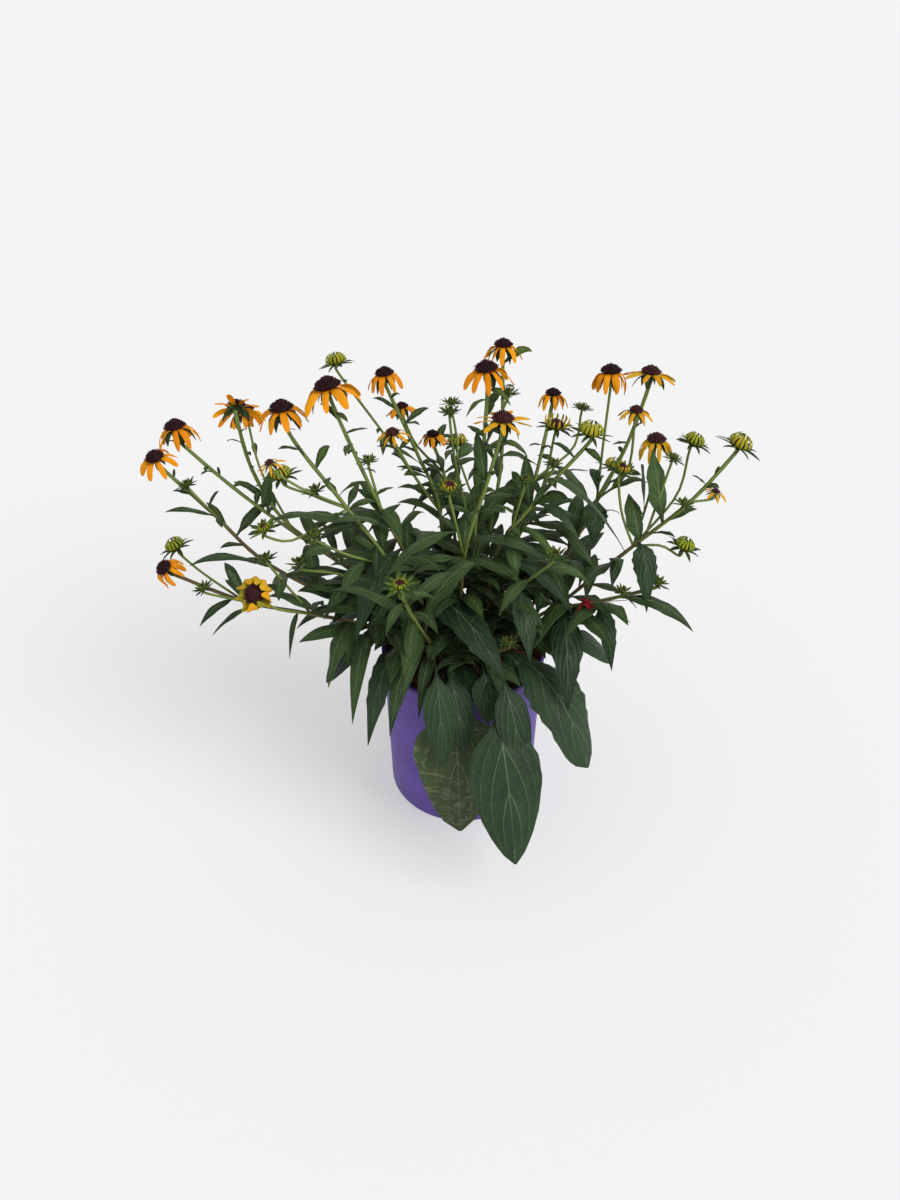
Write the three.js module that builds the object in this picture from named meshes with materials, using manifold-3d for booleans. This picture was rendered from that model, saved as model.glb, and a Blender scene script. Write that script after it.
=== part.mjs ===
// A black-eyed perennial in its nursery pot: a tapered plastic pot, bark potting mix, 18 leafy stems with
// their side shoots, leaves and buds, and 20 open blooms of drooping yellow rays round a dark squat disc.
// Sizes are millimetres and Z is up. The origin is the centre of the pot's flat base, and -Y is the front.

import * as THREE from 'three';
import { mergeVertices } from 'three/addons/utils/BufferGeometryUtils.js';
import Module from 'manifold-3d';

// Pot: a trade one-gallon nursery pot.
const POT_HEIGHT = 185;
const POT_RIM_RADIUS = 84;
const POT_BASE_RADIUS = 78;
const POT_WALL = 1.8;
const POT_FLOOR = 2.2;
const RIM_LIP = 1.4;
const RIM_LIP_HEIGHT = 9;
const POT_SIDES = 32;
const DRAIN_SLOTS = 3;
const FIRST_DRAIN_SLOT = 50;
const DRAIN_SLOT = { length: 16, width: 12, height: 14 };

// Potting mix.
const SOIL_TOP = 173;
const SOIL_BUMP = 1.5;
const SOIL_SIDES = 20;
const SOIL_RINGS = [0, 30, 54, 74];
const CLEARANCE = 0.35;
const JOIN_TOLERANCE = 0.06;

// Stems: each foot stands in a plain hole in the mix.
const FOOT_RADIUS = 2.8;
const FOOT_DEPTH = 24;
const FOOT_TOP = 188;
const STEM_RADIUS = 1.9;
const SIDE_RADIUS = 1.3;
const STEM_STEP = 60;
const STEM_SIDES = 4;
const FOOT_SIDES = 6;

// Blades are thickest along the midrib and thin out to their edges.
const LEAF_THICKNESS = 1.4;
const RAY_THICKNESS = 1.2;
const SMALLEST_SCALE = 0.6;
const LEAF_SPACING = 48;
const BARE_NECK = 72;
const LONGEST_LEAF = 96;
const LONGEST_SIDE_LEAF = 48;
const SHORTEST_LEAF = 26;
const LEAF_WIDTH_SHARE = 0.25;
const LEAF_RISE_SHARE = 0.14;
const LEAF_LIFT = 35;
const LEAST_LENGTH = 0.85;
const LENGTH_SPREAD = 0.3;
// Above the crown the stems are airy: a leaf that starts there is shorter, the higher the shorter.
const CROWN_HEIGHT = 285;
const CROWN_FADE = 110;
const HIGH_LEAF_SHARE = 0.4;
const CROWN_LEAVES = [
  { share: 0.07, turn: 0, length: 72, width: 24, climb: 22, rise: 16 },
  { share: 0.15, turn: 11, length: 62, width: 17, climb: 16, rise: 18 },
];

// Heads, for a scale of 1: the disc, the ring of rays and the cup of bracts below them.
const DISC_RADIUS = 10.5;
const DISC_HEIGHT = 8.6;
const DISC_BASE = 1.05;
const DISC_RIM = 0.6;
const DISC_SIDES = 8;
const DISC_PROFILE = [[0.98, 0.14], [0.84, 0.42], [0.46, 0.8], [0, 1]];
const FLORET_RELIEF = 0.5;
const HUB_RADIUS = 8;
const RAY_LENGTH = 24;
const RAY_HALF_WIDTH = 3.9;
const RAY_SWAY = 10;
const RAY_SPREAD = 0.16;
const STUB_RAY_SHARE = 0.4;
const CUP_DEPTH = 5;
const CUP_RADIUS = 5.6;
const CUP_GAP = 0.6;
const TIP_DRAW_IN = 3;
const NECK_LENGTH = 9;
const HEAD_LEAN_REACH = 700;
const CLOSED_SIZES = { opening: 0.85, star: 0.78, cup: 0.85, small_bloom: 0.62, bud: 0.5 };
const BUD_SIZE_SPREAD = 0.12;
const GOLDEN_ANGLE = Math.PI * (3 - Math.sqrt(5));

const wasm = await Module();
wasm.setup();

const POT_FINISH = new THREE.MeshStandardMaterial({ color: 0x5f4696, roughness: 0.55, metalness: 0 });
const SOIL_FINISH = new THREE.MeshStandardMaterial({ color: 0x5a3220, roughness: 0.95, metalness: 0 });
const GREEN_FINISH = new THREE.MeshStandardMaterial({ color: 0x3c5a3c, roughness: 0.6, metalness: 0 });
const RAY_FINISH = new THREE.MeshStandardMaterial({ color: 0xfaa519, roughness: 0.6, metalness: 0 });
const DISC_FINISH = new THREE.MeshStandardMaterial({ color: 0x3c1c26, roughness: 0.8, metalness: 0 });

// Shoots. A main shoot rises from its stem's foot [x, y] in the mix, and a side shoot starts at a point of
// it. Each passes through the points of via and ends in a head.
const STEMS = [
  {
    name: 'stem_01',
    foot: [-50, 4],
    shoots: [
      {
        via: [[-135, 5, 245], [-200, 20, 280], [-245, 35, 325]],
        head: ['bloom_01', 'bloom', [-289, 30, 391]],
      },
      { side: true, via: [[-245, 35, 325]], head: ['', 'bud', [-264, 30, 362]] },
    ],
  },
  {
    name: 'stem_02',
    foot: [-42, 18],
    shoots: [
      {
        via: [[-85, 16, 245], [-160, 32, 298], [-222, 50, 342]],
        head: ['bloom_02', 'bloom', [-275, 64, 403]],
      },
      { side: true, via: [[-85, 16, 245], [-120, 2, 275]], head: ['', 'bud', [-157, -12, 300]] },
    ],
  },
  {
    name: 'stem_03',
    foot: [-34, 34],
    shoots: [
      {
        via: [[-100, 48, 240], [-175, 62, 290], [-208, 75, 345]],
        head: ['bloom_03', 'bloom', [-218, 82, 414]],
      },
      {
        side: true,
        via: [[-175, 62, 290], [-208, 112, 325]],
        head: ['bloom_04', 'bloom', [-222, 142, 376]],
      },
    ],
  },
  {
    name: 'stem_04',
    foot: [-34, -2],
    shoots: [
      {
        via: [[-72, 4, 285], [-112, 24, 338], [-155, 48, 388]],
        head: ['bloom_05', 'bloom', [-171, 58, 426]],
      },
      { side: true, via: [[-112, 24, 338], [-142, 30, 348]], head: ['', 'opening', [-174, 36, 368]] },
      { side: true, via: [[-72, 4, 285], [-108, -8, 305]], head: ['', 'bud', [-142, -4, 328]] },
      { side: true, via: [[-112, 24, 338], [-160, -4, 322]], head: ['', 'star', [-187, -14, 342]] },
    ],
  },
  {
    name: 'stem_05',
    foot: [-22, 10],
    shoots: [
      {
        via: [[-50, 16, 270], [-80, 28, 335], [-105, 42, 392]],
        head: ['bloom_06', 'bloom', [-126, 58, 449]],
      },
      { side: true, via: [[-80, 28, 335]], head: ['', 'bud', [-92, 44, 380]] },
    ],
  },
  {
    name: 'stem_06',
    foot: [-16, 32],
    shoots: [
      { via: [[-24, 58, 312], [-46, 85, 362]], head: ['bloom_07', 'bloom', [-77, 114, 433]] },
      { side: true, via: [[-24, 58, 312], [-84, 112, 375]], head: ['', 'opening', [-126, 142, 432]] },
      { side: true, via: [[-24, 58, 312], [-46, 56, 350]], head: ['bloom_08', 'bloom', [-68, 56, 402]] },
    ],
  },
  {
    name: 'stem_07',
    foot: [2, 34],
    shoots: [
      { via: [[-10, 60, 290], [-20, 92, 335]], head: ['bloom_09', 'bloom', [-31, 106, 370]] },
      { side: true, via: [[-10, 60, 290], [-6, 118, 345]], head: ['', 'bud', [-12, 134, 392]] },
      { side: true, via: [[-20, 92, 335], [-48, 118, 352]], head: ['bloom_10', 'bloom', [-62, 126, 390]] },
    ],
  },
  {
    name: 'stem_08',
    foot: [8, 10],
    shoots: [
      { via: [[10, 24, 300], [18, 48, 390]], head: ['bloom_11', 'bloom', [20, 64, 464]] },
      { side: true, via: [[18, 48, 390]], head: ['', 'bud', [40, 66, 440]] },
      { side: true, via: [[10, 24, 300], [-8, 44, 375]], head: ['', 'bud', [-14, 58, 425]] },
    ],
  },
  {
    name: 'stem_09',
    foot: [-4, -12],
    shoots: [
      { via: [[0, -4, 300], [20, 8, 375]], head: ['bloom_12', 'bloom', [34, 20, 437]] },
      { side: true, via: [[0, -4, 300]], head: ['', 'cup', [-14, -16, 388]] },
    ],
  },
  {
    name: 'stem_10',
    foot: [20, 32],
    shoots: [
      { via: [[26, 55, 285], [38, 98, 345]], head: ['bloom_13', 'bloom', [38, 130, 455]] },
      { side: true, via: [[26, 55, 285], [8, 110, 300]], head: ['', 'opening', [-6, 158, 330]] },
    ],
  },
  {
    name: 'stem_11',
    foot: [34, 18],
    shoots: [
      { via: [[48, 45, 270], [72, 88, 330]], head: ['bloom_14', 'bloom', [90, 138, 398]] },
      { side: true, via: [[48, 45, 270], [76, 58, 335]], head: ['', 'opening', [88, 70, 402]] },
      { side: true, via: [[72, 88, 330], [112, 122, 345]], head: ['', 'bud', [122, 148, 378]] },
    ],
  },
  {
    name: 'stem_12',
    foot: [22, -2],
    shoots: [
      { via: [[30, 8, 290], [66, 22, 345]], head: ['', 'opening', [118, 44, 410]] },
      { side: true, via: [[26, 3, 240], [58, -36, 296]], head: ['', 'bud', [80, -66, 350]] },
      { side: true, via: [[66, 22, 345]], head: ['', 'bud', [84, 30, 385]] },
    ],
  },
  {
    name: 'stem_13',
    foot: [44, 4],
    shoots: [
      {
        via: [[100, 45, 255], [135, 78, 312], [162, 98, 362]],
        head: ['bloom_15', 'bloom', [181, 114, 434]],
      },
      { side: true, via: [[135, 78, 312], [138, 92, 365]], head: ['bloom_16', 'bloom', [142, 112, 436]] },
      { side: true, via: [[135, 78, 312], [160, 66, 352]], head: ['bloom_17', 'bloom', [162, 66, 420]] },
      { side: true, via: [[100, 45, 255], [128, 98, 270]], head: ['', 'opening', [160, 142, 310]] },
    ],
  },
  {
    name: 'stem_14',
    foot: [44, -12],
    shoots: [
      { via: [[105, 4, 245], [165, 15, 300], [216, 25, 345]], head: ['', 'opening', [256, 35, 402]] },
      { side: true, via: [[165, 15, 300], [184, 58, 338]], head: ['bloom_18', 'bloom', [188, 82, 378]] },
      { side: true, via: [[165, 15, 300], [150, 12, 340]], head: ['', 'cup', [146, 14, 388]] },
      { side: true, via: [[165, 15, 300], [208, 50, 335]], head: ['', 'opening', [222, 70, 384]] },
      { side: true, via: [[216, 25, 345]], head: ['', 'small_bloom', [246, 50, 340]] },
      { side: true, via: [[165, 15, 300], [192, 16, 300]], head: ['', 'opening', [216, 20, 296]] },
    ],
  },
  {
    name: 'stem_15',
    foot: [30, -28],
    shoots: [
      { via: [[75, -18, 240], [130, -16, 255]], head: ['', 'bud', [188, -8, 274]] },
      { side: true, via: [[75, -18, 240], [118, -26, 262]], head: ['', 'bud', [150, -38, 286]] },
    ],
  },
  {
    name: 'stem_16',
    foot: [-44, -18],
    shoots: [
      {
        via: [[-90, -16, 222], [-150, -20, 243], [-215, -15, 255]],
        head: ['bloom_19', 'bloom', [-291, 0, 284]],
      },
      { side: true, via: [[-215, -15, 255], [-258, 22, 258]], head: ['', 'opening', [-290, 44, 278]] },
      {
        side: true,
        via: [[-150, -20, 243], [-180, -42, 268]],
        head: ['bloom_20', 'bloom', [-193, -64, 303]],
      },
      { side: true, via: [[-215, -15, 255]], head: ['', 'bud', [-249, -30, 284]] },
    ],
  },
  {
    name: 'stem_17',
    foot: [-14, -34],
    shoots: [{ via: [[-40, -50, 245], [-52, -90, 310]], head: ['', 'star', [-56, -122, 360]] }],
  },
  {
    name: 'stem_18',
    foot: [12, -38],
    shoots: [{ via: [[18, -48, 212]], head: ['', 'bud', [42, -70, 250]] }],
  },
];

// Heads that differ from the usual upright one: axis is the way the disc faces, size the scale, droop the
// angle in degrees that the rays hang below the level, rays their number and reach their length as a share
// of the usual.
const HEAD_DETAILS = {
  bloom_01: { axis: [-0.2, -0.2, 0.95], size: 0.78, droop: 46, rays: 8 },
  bloom_02: { axis: [-0.15, 0.2, 1], size: 0.9, droop: 52, rays: 9 },
  bloom_03: { axis: [-0.1, 0.95, 0.3], size: 0.85, droop: 20, rays: 9 },
  bloom_04: { axis: [-0.2, 0.4, 1], size: 0.8, droop: 45, rays: 8 },
  bloom_05: { axis: [-0.12, 0.18, 1], size: 1, droop: 42, rays: 9 },
  bloom_06: { axis: [-0.22, 0.2, 1], size: 1.1, droop: 40, rays: 9 },
  bloom_07: { axis: [-0.1, 0.2, 1], size: 0.8, droop: 50, rays: 9 },
  bloom_08: { axis: [-0.1, 0, 1], size: 0.58, droop: 25, rays: 8 },
  bloom_09: { axis: [0, 0.1, 1], size: 0.58, droop: 40, rays: 8 },
  bloom_10: { axis: [-0.15, 0.3, 1], size: 0.6, droop: 30, rays: 8 },
  bloom_11: { axis: [-0.1, 0.15, 1], size: 0.95, droop: 45, rays: 9 },
  bloom_12: { axis: [0.05, 0.12, 1], size: 0.9, droop: 8, rays: 9 },
  bloom_13: { axis: [0.02, 0.25, 1], size: 0.8, droop: 45, rays: 9 },
  bloom_14: { axis: [0.05, 0.25, 1], size: 0.7, droop: 55, rays: 9 },
  bloom_15: { axis: [0.08, 0.28, 1], size: 0.85, droop: 14, rays: 9 },
  bloom_16: { axis: [-0.03, 0.28, 1], size: 0.9, droop: 62, rays: 9 },
  bloom_17: { axis: [0.05, 0.1, 1], size: 0.6, droop: 30, rays: 8 },
  bloom_18: { axis: [0.05, 0.2, 1], size: 0.85, droop: 62, rays: 10 },
  bloom_19: { axis: [-0.45, -0.3, 0.8], size: 0.75, droop: 62, rays: 9 },
  bloom_20: { axis: [-0.15, -0.72, 0.68], size: 0.95, droop: 5, rays: 9, reach: 0.5 },
};
const USUAL_HEAD = { axis: [0, -0.05, 1], size: 0.7, droop: 35, rays: 8, reach: 1 };

// Leaves set one by one: stem, a point beside the shoot that it grows from, its tip, width, form and the
// height that it arches above its higher end.
const LEAVES = [
  [18, [14, -42, 200], [50, -186, 66], 70, 'broad', 36],
  [17, [-16, -36, 196], [12, -130, 52], 84, 'broad', 56],
  [17, [-32, -42, 228], [-20, -125, 138], 32, 'broad', 22],
  [17, [-20, -38, 212], [0, -116, 146], 34, 'broad', 26],
  [15, [34, -26, 200], [120, -128, 140], 60, 'toothed', 46],
  [18, [18, -48, 215], [78, -124, 128], 34, 'broad', 40],
  [18, [16, -44, 205], [52, -104, 150], 15, 'lance', 26],
  [15, [100, -16, 247], [98, -108, 196], 30, 'toothed', 14],
  [15, [130, -16, 255], [142, -72, 215], 18, 'toothed', 8],
  [5, [-42, 14, 252], [38, -105, 230], 38, 'toothed', 34],
  [16, [-120, -18, 232], [-112, -62, 212], 18, 'lance', 8],
  [16, [-90, -16, 222], [-110, -84, 155], 18, 'lance', 14],
  [16, [-60, -17, 205], [-94, -104, 145], 24, 'toothed', 26],
  [16, [-48, -18, 195], [-72, -106, 160], 20, 'lance', 34],
  [17, [-36, -46, 238], [-60, -112, 205], 12, 'lance', 12],
  [17, [-24, -40, 218], [-44, -98, 176], 14, 'lance', 20],
  [17, [-46, -66, 270], [-52, -112, 252], 14, 'lance', 8],
  [18, [14, -42, 205], [24, -98, 168], 28, 'broad', 28],
  [12, [26, 3, 240], [63, -70, 281], 20, 'lance', 10],
  [12, [26, 4, 250], [82, -34, 286], 16, 'lance', 8],
  [12, [44, -14, 295], [62, -84, 236], 22, 'toothed', 6],
  [15, [60, -20, 225], [86, -64, 226], 14, 'lance', 8],
  [5, [-62, 20, 290], [-116, -52, 242], 24, 'toothed', 16],
  [9, [-6, -9, 335], [-76, -44, 302], 18, 'lance', 14],
  [6, [-20, 48, 290], [-76, -8, 262], 12, 'lance', 16],
  [6, [-18, 40, 260], [-38, 2, 246], 10, 'lance', 6],
  [9, [0, -4, 300], [42, -40, 306], 20, 'lance', 8],
  [5, [-70, 24, 312], [-122, -10, 346], 15, 'lance', 6],
  [6, [-34, 72, 338], [-58, 48, 360], 12, 'lance', 4],
  [6, [-40, 78, 350], [-84, 62, 384], 8, 'lance', 4],
  [8, [13, 32, 330], [15, 24, 402], 12, 'lance', 4],
  [14, [160, 14, 296], [74, 10, 380], 20, 'lance', 10],
  [12, [30, 8, 290], [104, -44, 262], 16, 'toothed', 22],
  [12, [44, 14, 314], [56, -6, 350], 8, 'lance', 4],
  [12, [66, 22, 345], [112, -2, 312], 13, 'toothed', 12],
  [13, [135, 78, 312], [126, 18, 300], 24, 'toothed', 14],
  [12, [50, 16, 325], [96, -22, 282], 9, 'lance', 14],
  [14, [150, 12, 286], [142, -22, 278], 12, 'lance', 8],
  [14, [172, 17, 306], [178, -26, 250], 23, 'toothed', 12],
  [14, [194, 21, 326], [178, 46, 390], 26, 'lance', -22],
  [14, [178, 40, 322], [168, 42, 376], 10, 'lance', 3],
  [13, [136, 80, 318], [122, 48, 364], 11, 'lance', 6],
  [15, [110, -17, 250], [162, -34, 244], 7, 'lance', 6],
  [1, [-188, 16, 272], [-260, -22, 304], 13, 'lance', 14],
  [1, [-240, 34, 320], [-286, 18, 338], 8, 'lance', 5],
  [16, [-215, -15, 255], [-226, -28, 304], 12, 'lance', 3],
  [16, [-225, -13, 257], [-256, -40, 244], 10, 'lance', 6],
  [16, [-200, -17, 252], [-244, -44, 236], 8, 'lance', 5],
  [16, [-165, -19, 246], [-172, -44, 205], 6, 'lance', 3],
  [16, [-150, -20, 243], [-132, -54, 280], 11, 'lance', 6],
  [1, [-235, 32, 314], [-216, 56, 362], 8, 'lance', 3],
  [4, [-100, 18, 322], [-188, 0, 338], 20, 'lance', 20],
  [3, [-48, 38, 202], [-118, 92, 170], 34, 'broad', 34],
  [3, [-38, 35, 192], [-74, 128, 128], 42, 'broad', 60],
  [6, [-18, 38, 205], [-34, 140, 118], 46, 'broad', 60],
  [10, [22, 36, 200], [26, 152, 128], 48, 'broad', 62],
  [11, [36, 22, 198], [92, 124, 132], 44, 'broad', 58],
  [13, [50, 8, 198], [138, 70, 158], 40, 'broad', 44],
  [14, [56, -8, 205], [152, -20, 178], 32, 'broad', 34],
  [2, [-46, 18, 198], [-142, 44, 176], 36, 'broad', 40],
  [1, [-54, 4, 196], [-140, -30, 160], 34, 'broad', 44],
  [7, [0, 40, 225], [-2, 118, 210], 24, 'toothed', 18],
  [10, [24, 48, 255], [60, 112, 240], 20, 'toothed', 14],
  [3, [-80, 44, 228], [-96, 104, 232], 18, 'toothed', 10],
  [14, [92, 1, 238], [58, -60, 217], 26, 'lance', 12],
  [9, [-3, -10, 226], [-53, -75, 230], 22, 'lance', 14],
  [5, [-70, 24, 315], [-126, 54, 306], 20, 'lance', 24],
  [9, [4, -1, 322], [94, -21, 276], 18, 'lance', 14],
  [14, [172, 15, 300], [160, 44, 342], 22, 'lance', -10],
  [12, [62, 21, 341], [58, 44, 386], 14, 'lance', -16],
  [9, [20, 8, 375], [8, 34, 418], 14, 'lance', -16],
  [2, [-199, 43, 325], [-187, 60, 362], 12, 'lance', -14],
  [4, [-124, -7, 311], [-150, -30, 318], 16, 'lance', 12],
  [13, [138, 76, 317], [180, 60, 344], 14, 'lance', 10],
];

// Forms: places along the blade from root to tip, the half-width there as a share of half the width, and
// the fold.
const FORMS = {
  lance: { along: [0, 0.3, 0.66, 1], wide: [0, 1, 0.78, 0], fold: 0.3 },
  toothed: {
    along: [0, 0.16, 0.34, 0.44, 0.6, 0.7, 1],
    wide: [0, 0.2, 0.98, 0.8, 0.94, 0.66, 0],
    fold: 0.25,
  },
  broad: {
    along: [0, 0.46, 0.54, 0.66, 0.71, 0.85, 0.94, 1],
    wide: [0, 0.07, 0.74, 1, 0.93, 0.8, 0.46, 0],
    fold: 0.2,
  },
  ray: { along: [0, 0.6, 1], wide: [0, 1, 0], fold: -0.16 },
};

// What a blade tries in turn until it lies clear of its neighbours: turn and lift in degrees, and scale.
const TRIES = [
  [0, 0, 1],
  [9, 0, 1],
  [-9, 0, 1],
  [0, 8, 1],
  [0, -8, 1],
  [16, 6, 0.95],
  [-16, 6, 0.95],
  [12, -8, 0.85],
  [-12, -8, 0.85],
  [25, 0, 0.85],
  [-25, 0, 0.85],
  [0, 16, 0.75],
  [0, -14, 0.75],
  [38, 8, 0.7],
  [-38, 8, 0.7],
  [0, 0, SMALLEST_SCALE],
];

/** A THREE.Vector3 from an array of three numbers. */
function vec(values) {
  return new THREE.Vector3(values[0], values[1], values[2]);
}

/** A number from 0 to 1 that looks random and is always the same for the same two whole numbers. */
function jitter(a, b) {
  const wave = Math.sin(a * 12.9898 + b * 78.233) * 43758.5453;
  return wave - Math.floor(wave);
}

/** A closed geometry as a solid. Triangles that a pointed end has closed up are dropped. */
function solidOf(geometry) {
  geometry.deleteAttribute('normal');
  geometry.deleteAttribute('uv');
  const merged = mergeVertices(geometry, 1e-4);
  const corners = merged.index.array;
  const kept = [];
  for (let i = 0; i < corners.length; i += 3) {
    const [a, b, c] = [corners[i], corners[i + 1], corners[i + 2]];
    if (a !== b && b !== c && c !== a) kept.push(a, b, c);
  }
  const vertProperties = new Float32Array(merged.attributes.position.array);
  return new wasm.Manifold(new wasm.Mesh({ numProp: 3, vertProperties, triVerts: new Uint32Array(kept) }));
}

/** All the solids joined in one. A hollow that the join seals is filled, and a loose scrap is left out. */
function join(solids) {
  const whole = solids.reduce((sum, solid) => sum.add(solid));
  const larger = (one, other) => (other.volume() > one.volume() ? other : one);
  return whole.decompose().reduce(larger).simplify(JOIN_TOLERANCE);
}

/** The named mesh of a solid. */
function meshOf(name, solid, material) {
  const { vertProperties, triVerts } = solid.getMesh();
  const geometry = new THREE.BufferGeometry();
  geometry.setAttribute('position', new THREE.BufferAttribute(vertProperties, 3));
  geometry.setIndex(new THREE.BufferAttribute(triVerts, 1));
  geometry.computeVertexNormals();
  const mesh = new THREE.Mesh(geometry, material);
  mesh.name = name;
  return mesh;
}

/** A regular polygon as a shape, with its corners on a circle. */
function polygon(radius, sides) {
  const corners = [];
  for (let i = 0; i < sides; i += 1) {
    const angle = (2 * Math.PI * i) / sides;
    corners.push(new THREE.Vector2(radius * Math.cos(angle), radius * Math.sin(angle)));
  }
  return new THREE.Shape(corners);
}

/** A solid of revolution about Z from profile points [radius, height]. */
function lathe(profile, sides) {
  const points = profile.map(([radius, height]) => new THREE.Vector2(radius, height));
  return new THREE.LatheGeometry(points, sides).rotateX(Math.PI / 2);
}

const BLADE_SECTION = new THREE.Shape([
  new THREE.Vector2(-1, 0),
  new THREE.Vector2(0, -0.5),
  new THREE.Vector2(1, 0),
  new THREE.Vector2(0, 0.5),
]);

/** A thin blade folded along its midrib, which follows the curve. Its section lies along side. */
function blade(curve, side, form, width, thickness) {
  const steps = form.along.length - 1;
  const geometry = new THREE.ExtrudeGeometry(BLADE_SECTION, { depth: 1, steps, bevelEnabled: false });
  const place = geometry.attributes.position;
  for (let i = 0; i < place.count; i += 1) {
    const station = Math.round(place.getZ(i) * steps);
    const half = (form.wide[station] * width) / 2;
    const across = place.getX(i);
    const up = curve.getTangent(form.along[station]).cross(side).normalize();
    const rise = Math.abs(across) * form.fold * half + place.getY(i) * (half > 0 ? thickness : 0);
    const point = curve.getPoint(form.along[station]);
    point.addScaledVector(side, across * half).addScaledVector(up, rise);
    place.setXYZ(i, point.x, point.y, point.z);
  }
  return solidOf(geometry);
}

/** The midrib of a leaf from root to tip, which arches up by rise above the higher end. */
function midrib(root, tip, rise) {
  const crest = root.clone().lerp(tip, 0.6);
  crest.z = Math.max(root.z, tip.z) + rise;
  return new THREE.QuadraticBezierCurve3(root, crest, tip);
}

/** The level direction across a leaf that runs from root to tip. */
function acrossLeaf(root, tip) {
  return new THREE.Vector3(root.y - tip.y, tip.x - root.x, 0).normalize().negate();
}

/** The unit vector at an azimuth round Z and a rise above the level, both in radians. */
function wayTo(azimuth, rise) {
  return vec([Math.cos(azimuth) * Math.cos(rise), Math.sin(azimuth) * Math.cos(rise), Math.sin(rise)]);
}

/** The tip turned about the upright through the root, lifted and drawn in. */
function bentTip(root, tip, [turn, lift, scale]) {
  const reach = tip.clone().sub(root);
  const level = Math.hypot(reach.x, reach.y);
  const length = reach.length() * scale;
  const azimuth = Math.atan2(reach.y, reach.x) + THREE.MathUtils.degToRad(turn);
  const rise = Math.atan2(reach.z, level) + THREE.MathUtils.degToRad(lift);
  return wayTo(azimuth, rise).multiplyScalar(length).add(root);
}

// Solids that later blades keep clear of, each with the node that it belongs to.
const placed = [];

/** Remembers a solid of a node. */
function remember(node, solid) {
  placed.push({ node, solid, box: solid.boundingBox() });
  return solid;
}

/** Whether a solid crosses no remembered solid of another node. */
function isClear(node, solid) {
  const { min, max } = solid.boundingBox();
  return placed.every((other) => {
    if (other.node === node) return true;
    for (let i = 0; i < 3; i += 1) {
      if (min[i] > other.box.max[i] || max[i] < other.box.min[i]) return true;
    }
    return solid.intersect(other.solid).isEmpty();
  });
}

/** A leaf that lies clear of the other nodes, or null where none of the tries does. */
function fittedLeaf(node, root, tip, width, formName, rise) {
  const form = FORMS[formName];
  for (const attempt of TRIES) {
    const end = bentTip(root, tip, attempt);
    const across = acrossLeaf(root, end);
    const wide = width * Math.min(1, attempt[2] + 0.1);
    const curve = midrib(root, end, rise * attempt[2]);
    const guard = blade(curve, across, form, wide + 2 * CLEARANCE, LEAF_THICKNESS + 2 * CLEARANCE);
    if (isClear(node, guard)) return remember(node, blade(curve, across, form, wide, LEAF_THICKNESS));
  }
  return null;
}

/** The matrix that carries a head's own frame, with the disc facing +Z, to its place. */
function headFrame(centre, axis) {
  const upright = new THREE.Vector3(0, 0, 1);
  const turn = new THREE.Quaternion().setFromUnitVectors(upright, vec(axis).normalize());
  return new THREE.Matrix4().compose(vec(centre), turn, new THREE.Vector3(1, 1, 1));
}

/** The midrib of a ray in its head's own frame, through a level stretch at the hub to its hanging tip. */
function rayCurve(angle, size, reach, hang) {
  const at = (radius, height) => vec([radius * Math.cos(angle), radius * Math.sin(angle), height]);
  const start = 0.5 * HUB_RADIUS * size;
  const tip = at(start + 3 * size + reach * Math.cos(hang), -reach * Math.sin(hang));
  return new THREE.QuadraticBezierCurve3(at(start, 0), at(start + 0.45 * reach + 2 * size, 0), tip);
}

// Green cups for a scale of 1: rings from the stem to the top as [radius, height]. A ring with a third and
// fourth number runs out into points: those of the bracts, or those of an opening bud's young rays, which
// stand between.
const CUP_START = [[0, -CUP_DEPTH]];
const HEAD_KINDS = {
  bloom: { points: 5, rings: [...CUP_START, [5, -3.4, 12, -9], [CUP_RADIUS, -1.6], [0, -1.6]] },
  small_bloom: {
    points: 6,
    rings: [...CUP_START, [5, -3, 12, -9], [7, -0.6, 23, -9, 'between'], [7.6, 1.4], [5.6, 6.4], [0, 8.8]],
  },
  opening: {
    points: 6,
    rings: [...CUP_START, [5.5, -2.6, 17, -3], [8.5, 0.8, 12.5, 14, 'between'], [6.8, 3], [0, 6]],
  },
  star: { points: 7, rings: [...CUP_START, [5.5, -2.4, 18, 1], [7.5, 0.8], [5, 3.8], [0, 4.8]] },
  cup: { points: 7, rings: [...CUP_START, [7.5, -1.5], [8, 2.5, 11.5, 9], [6.5, 4.5], [0, 8.5]] },
  bud: { points: 5, rings: [...CUP_START, [7, 0, 10.5, 7.5], [5, 3.5], [0, 6.5]] },
};

/** The settings of a head. A closed head leans the way that its stem grows. */
function headSettings(name, kind, centre, index) {
  if (HEAD_DETAILS[name]) return { ...USUAL_HEAD, ...HEAD_DETAILS[name] };
  const lean = [centre[0] / HEAD_LEAN_REACH, centre[1] / HEAD_LEAN_REACH, 1];
  const spread = kind === 'bud' ? BUD_SIZE_SPREAD * jitter(index, 7) : 0;
  return { ...USUAL_HEAD, axis: lean, size: CLOSED_SIZES[kind] + spread };
}

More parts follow.
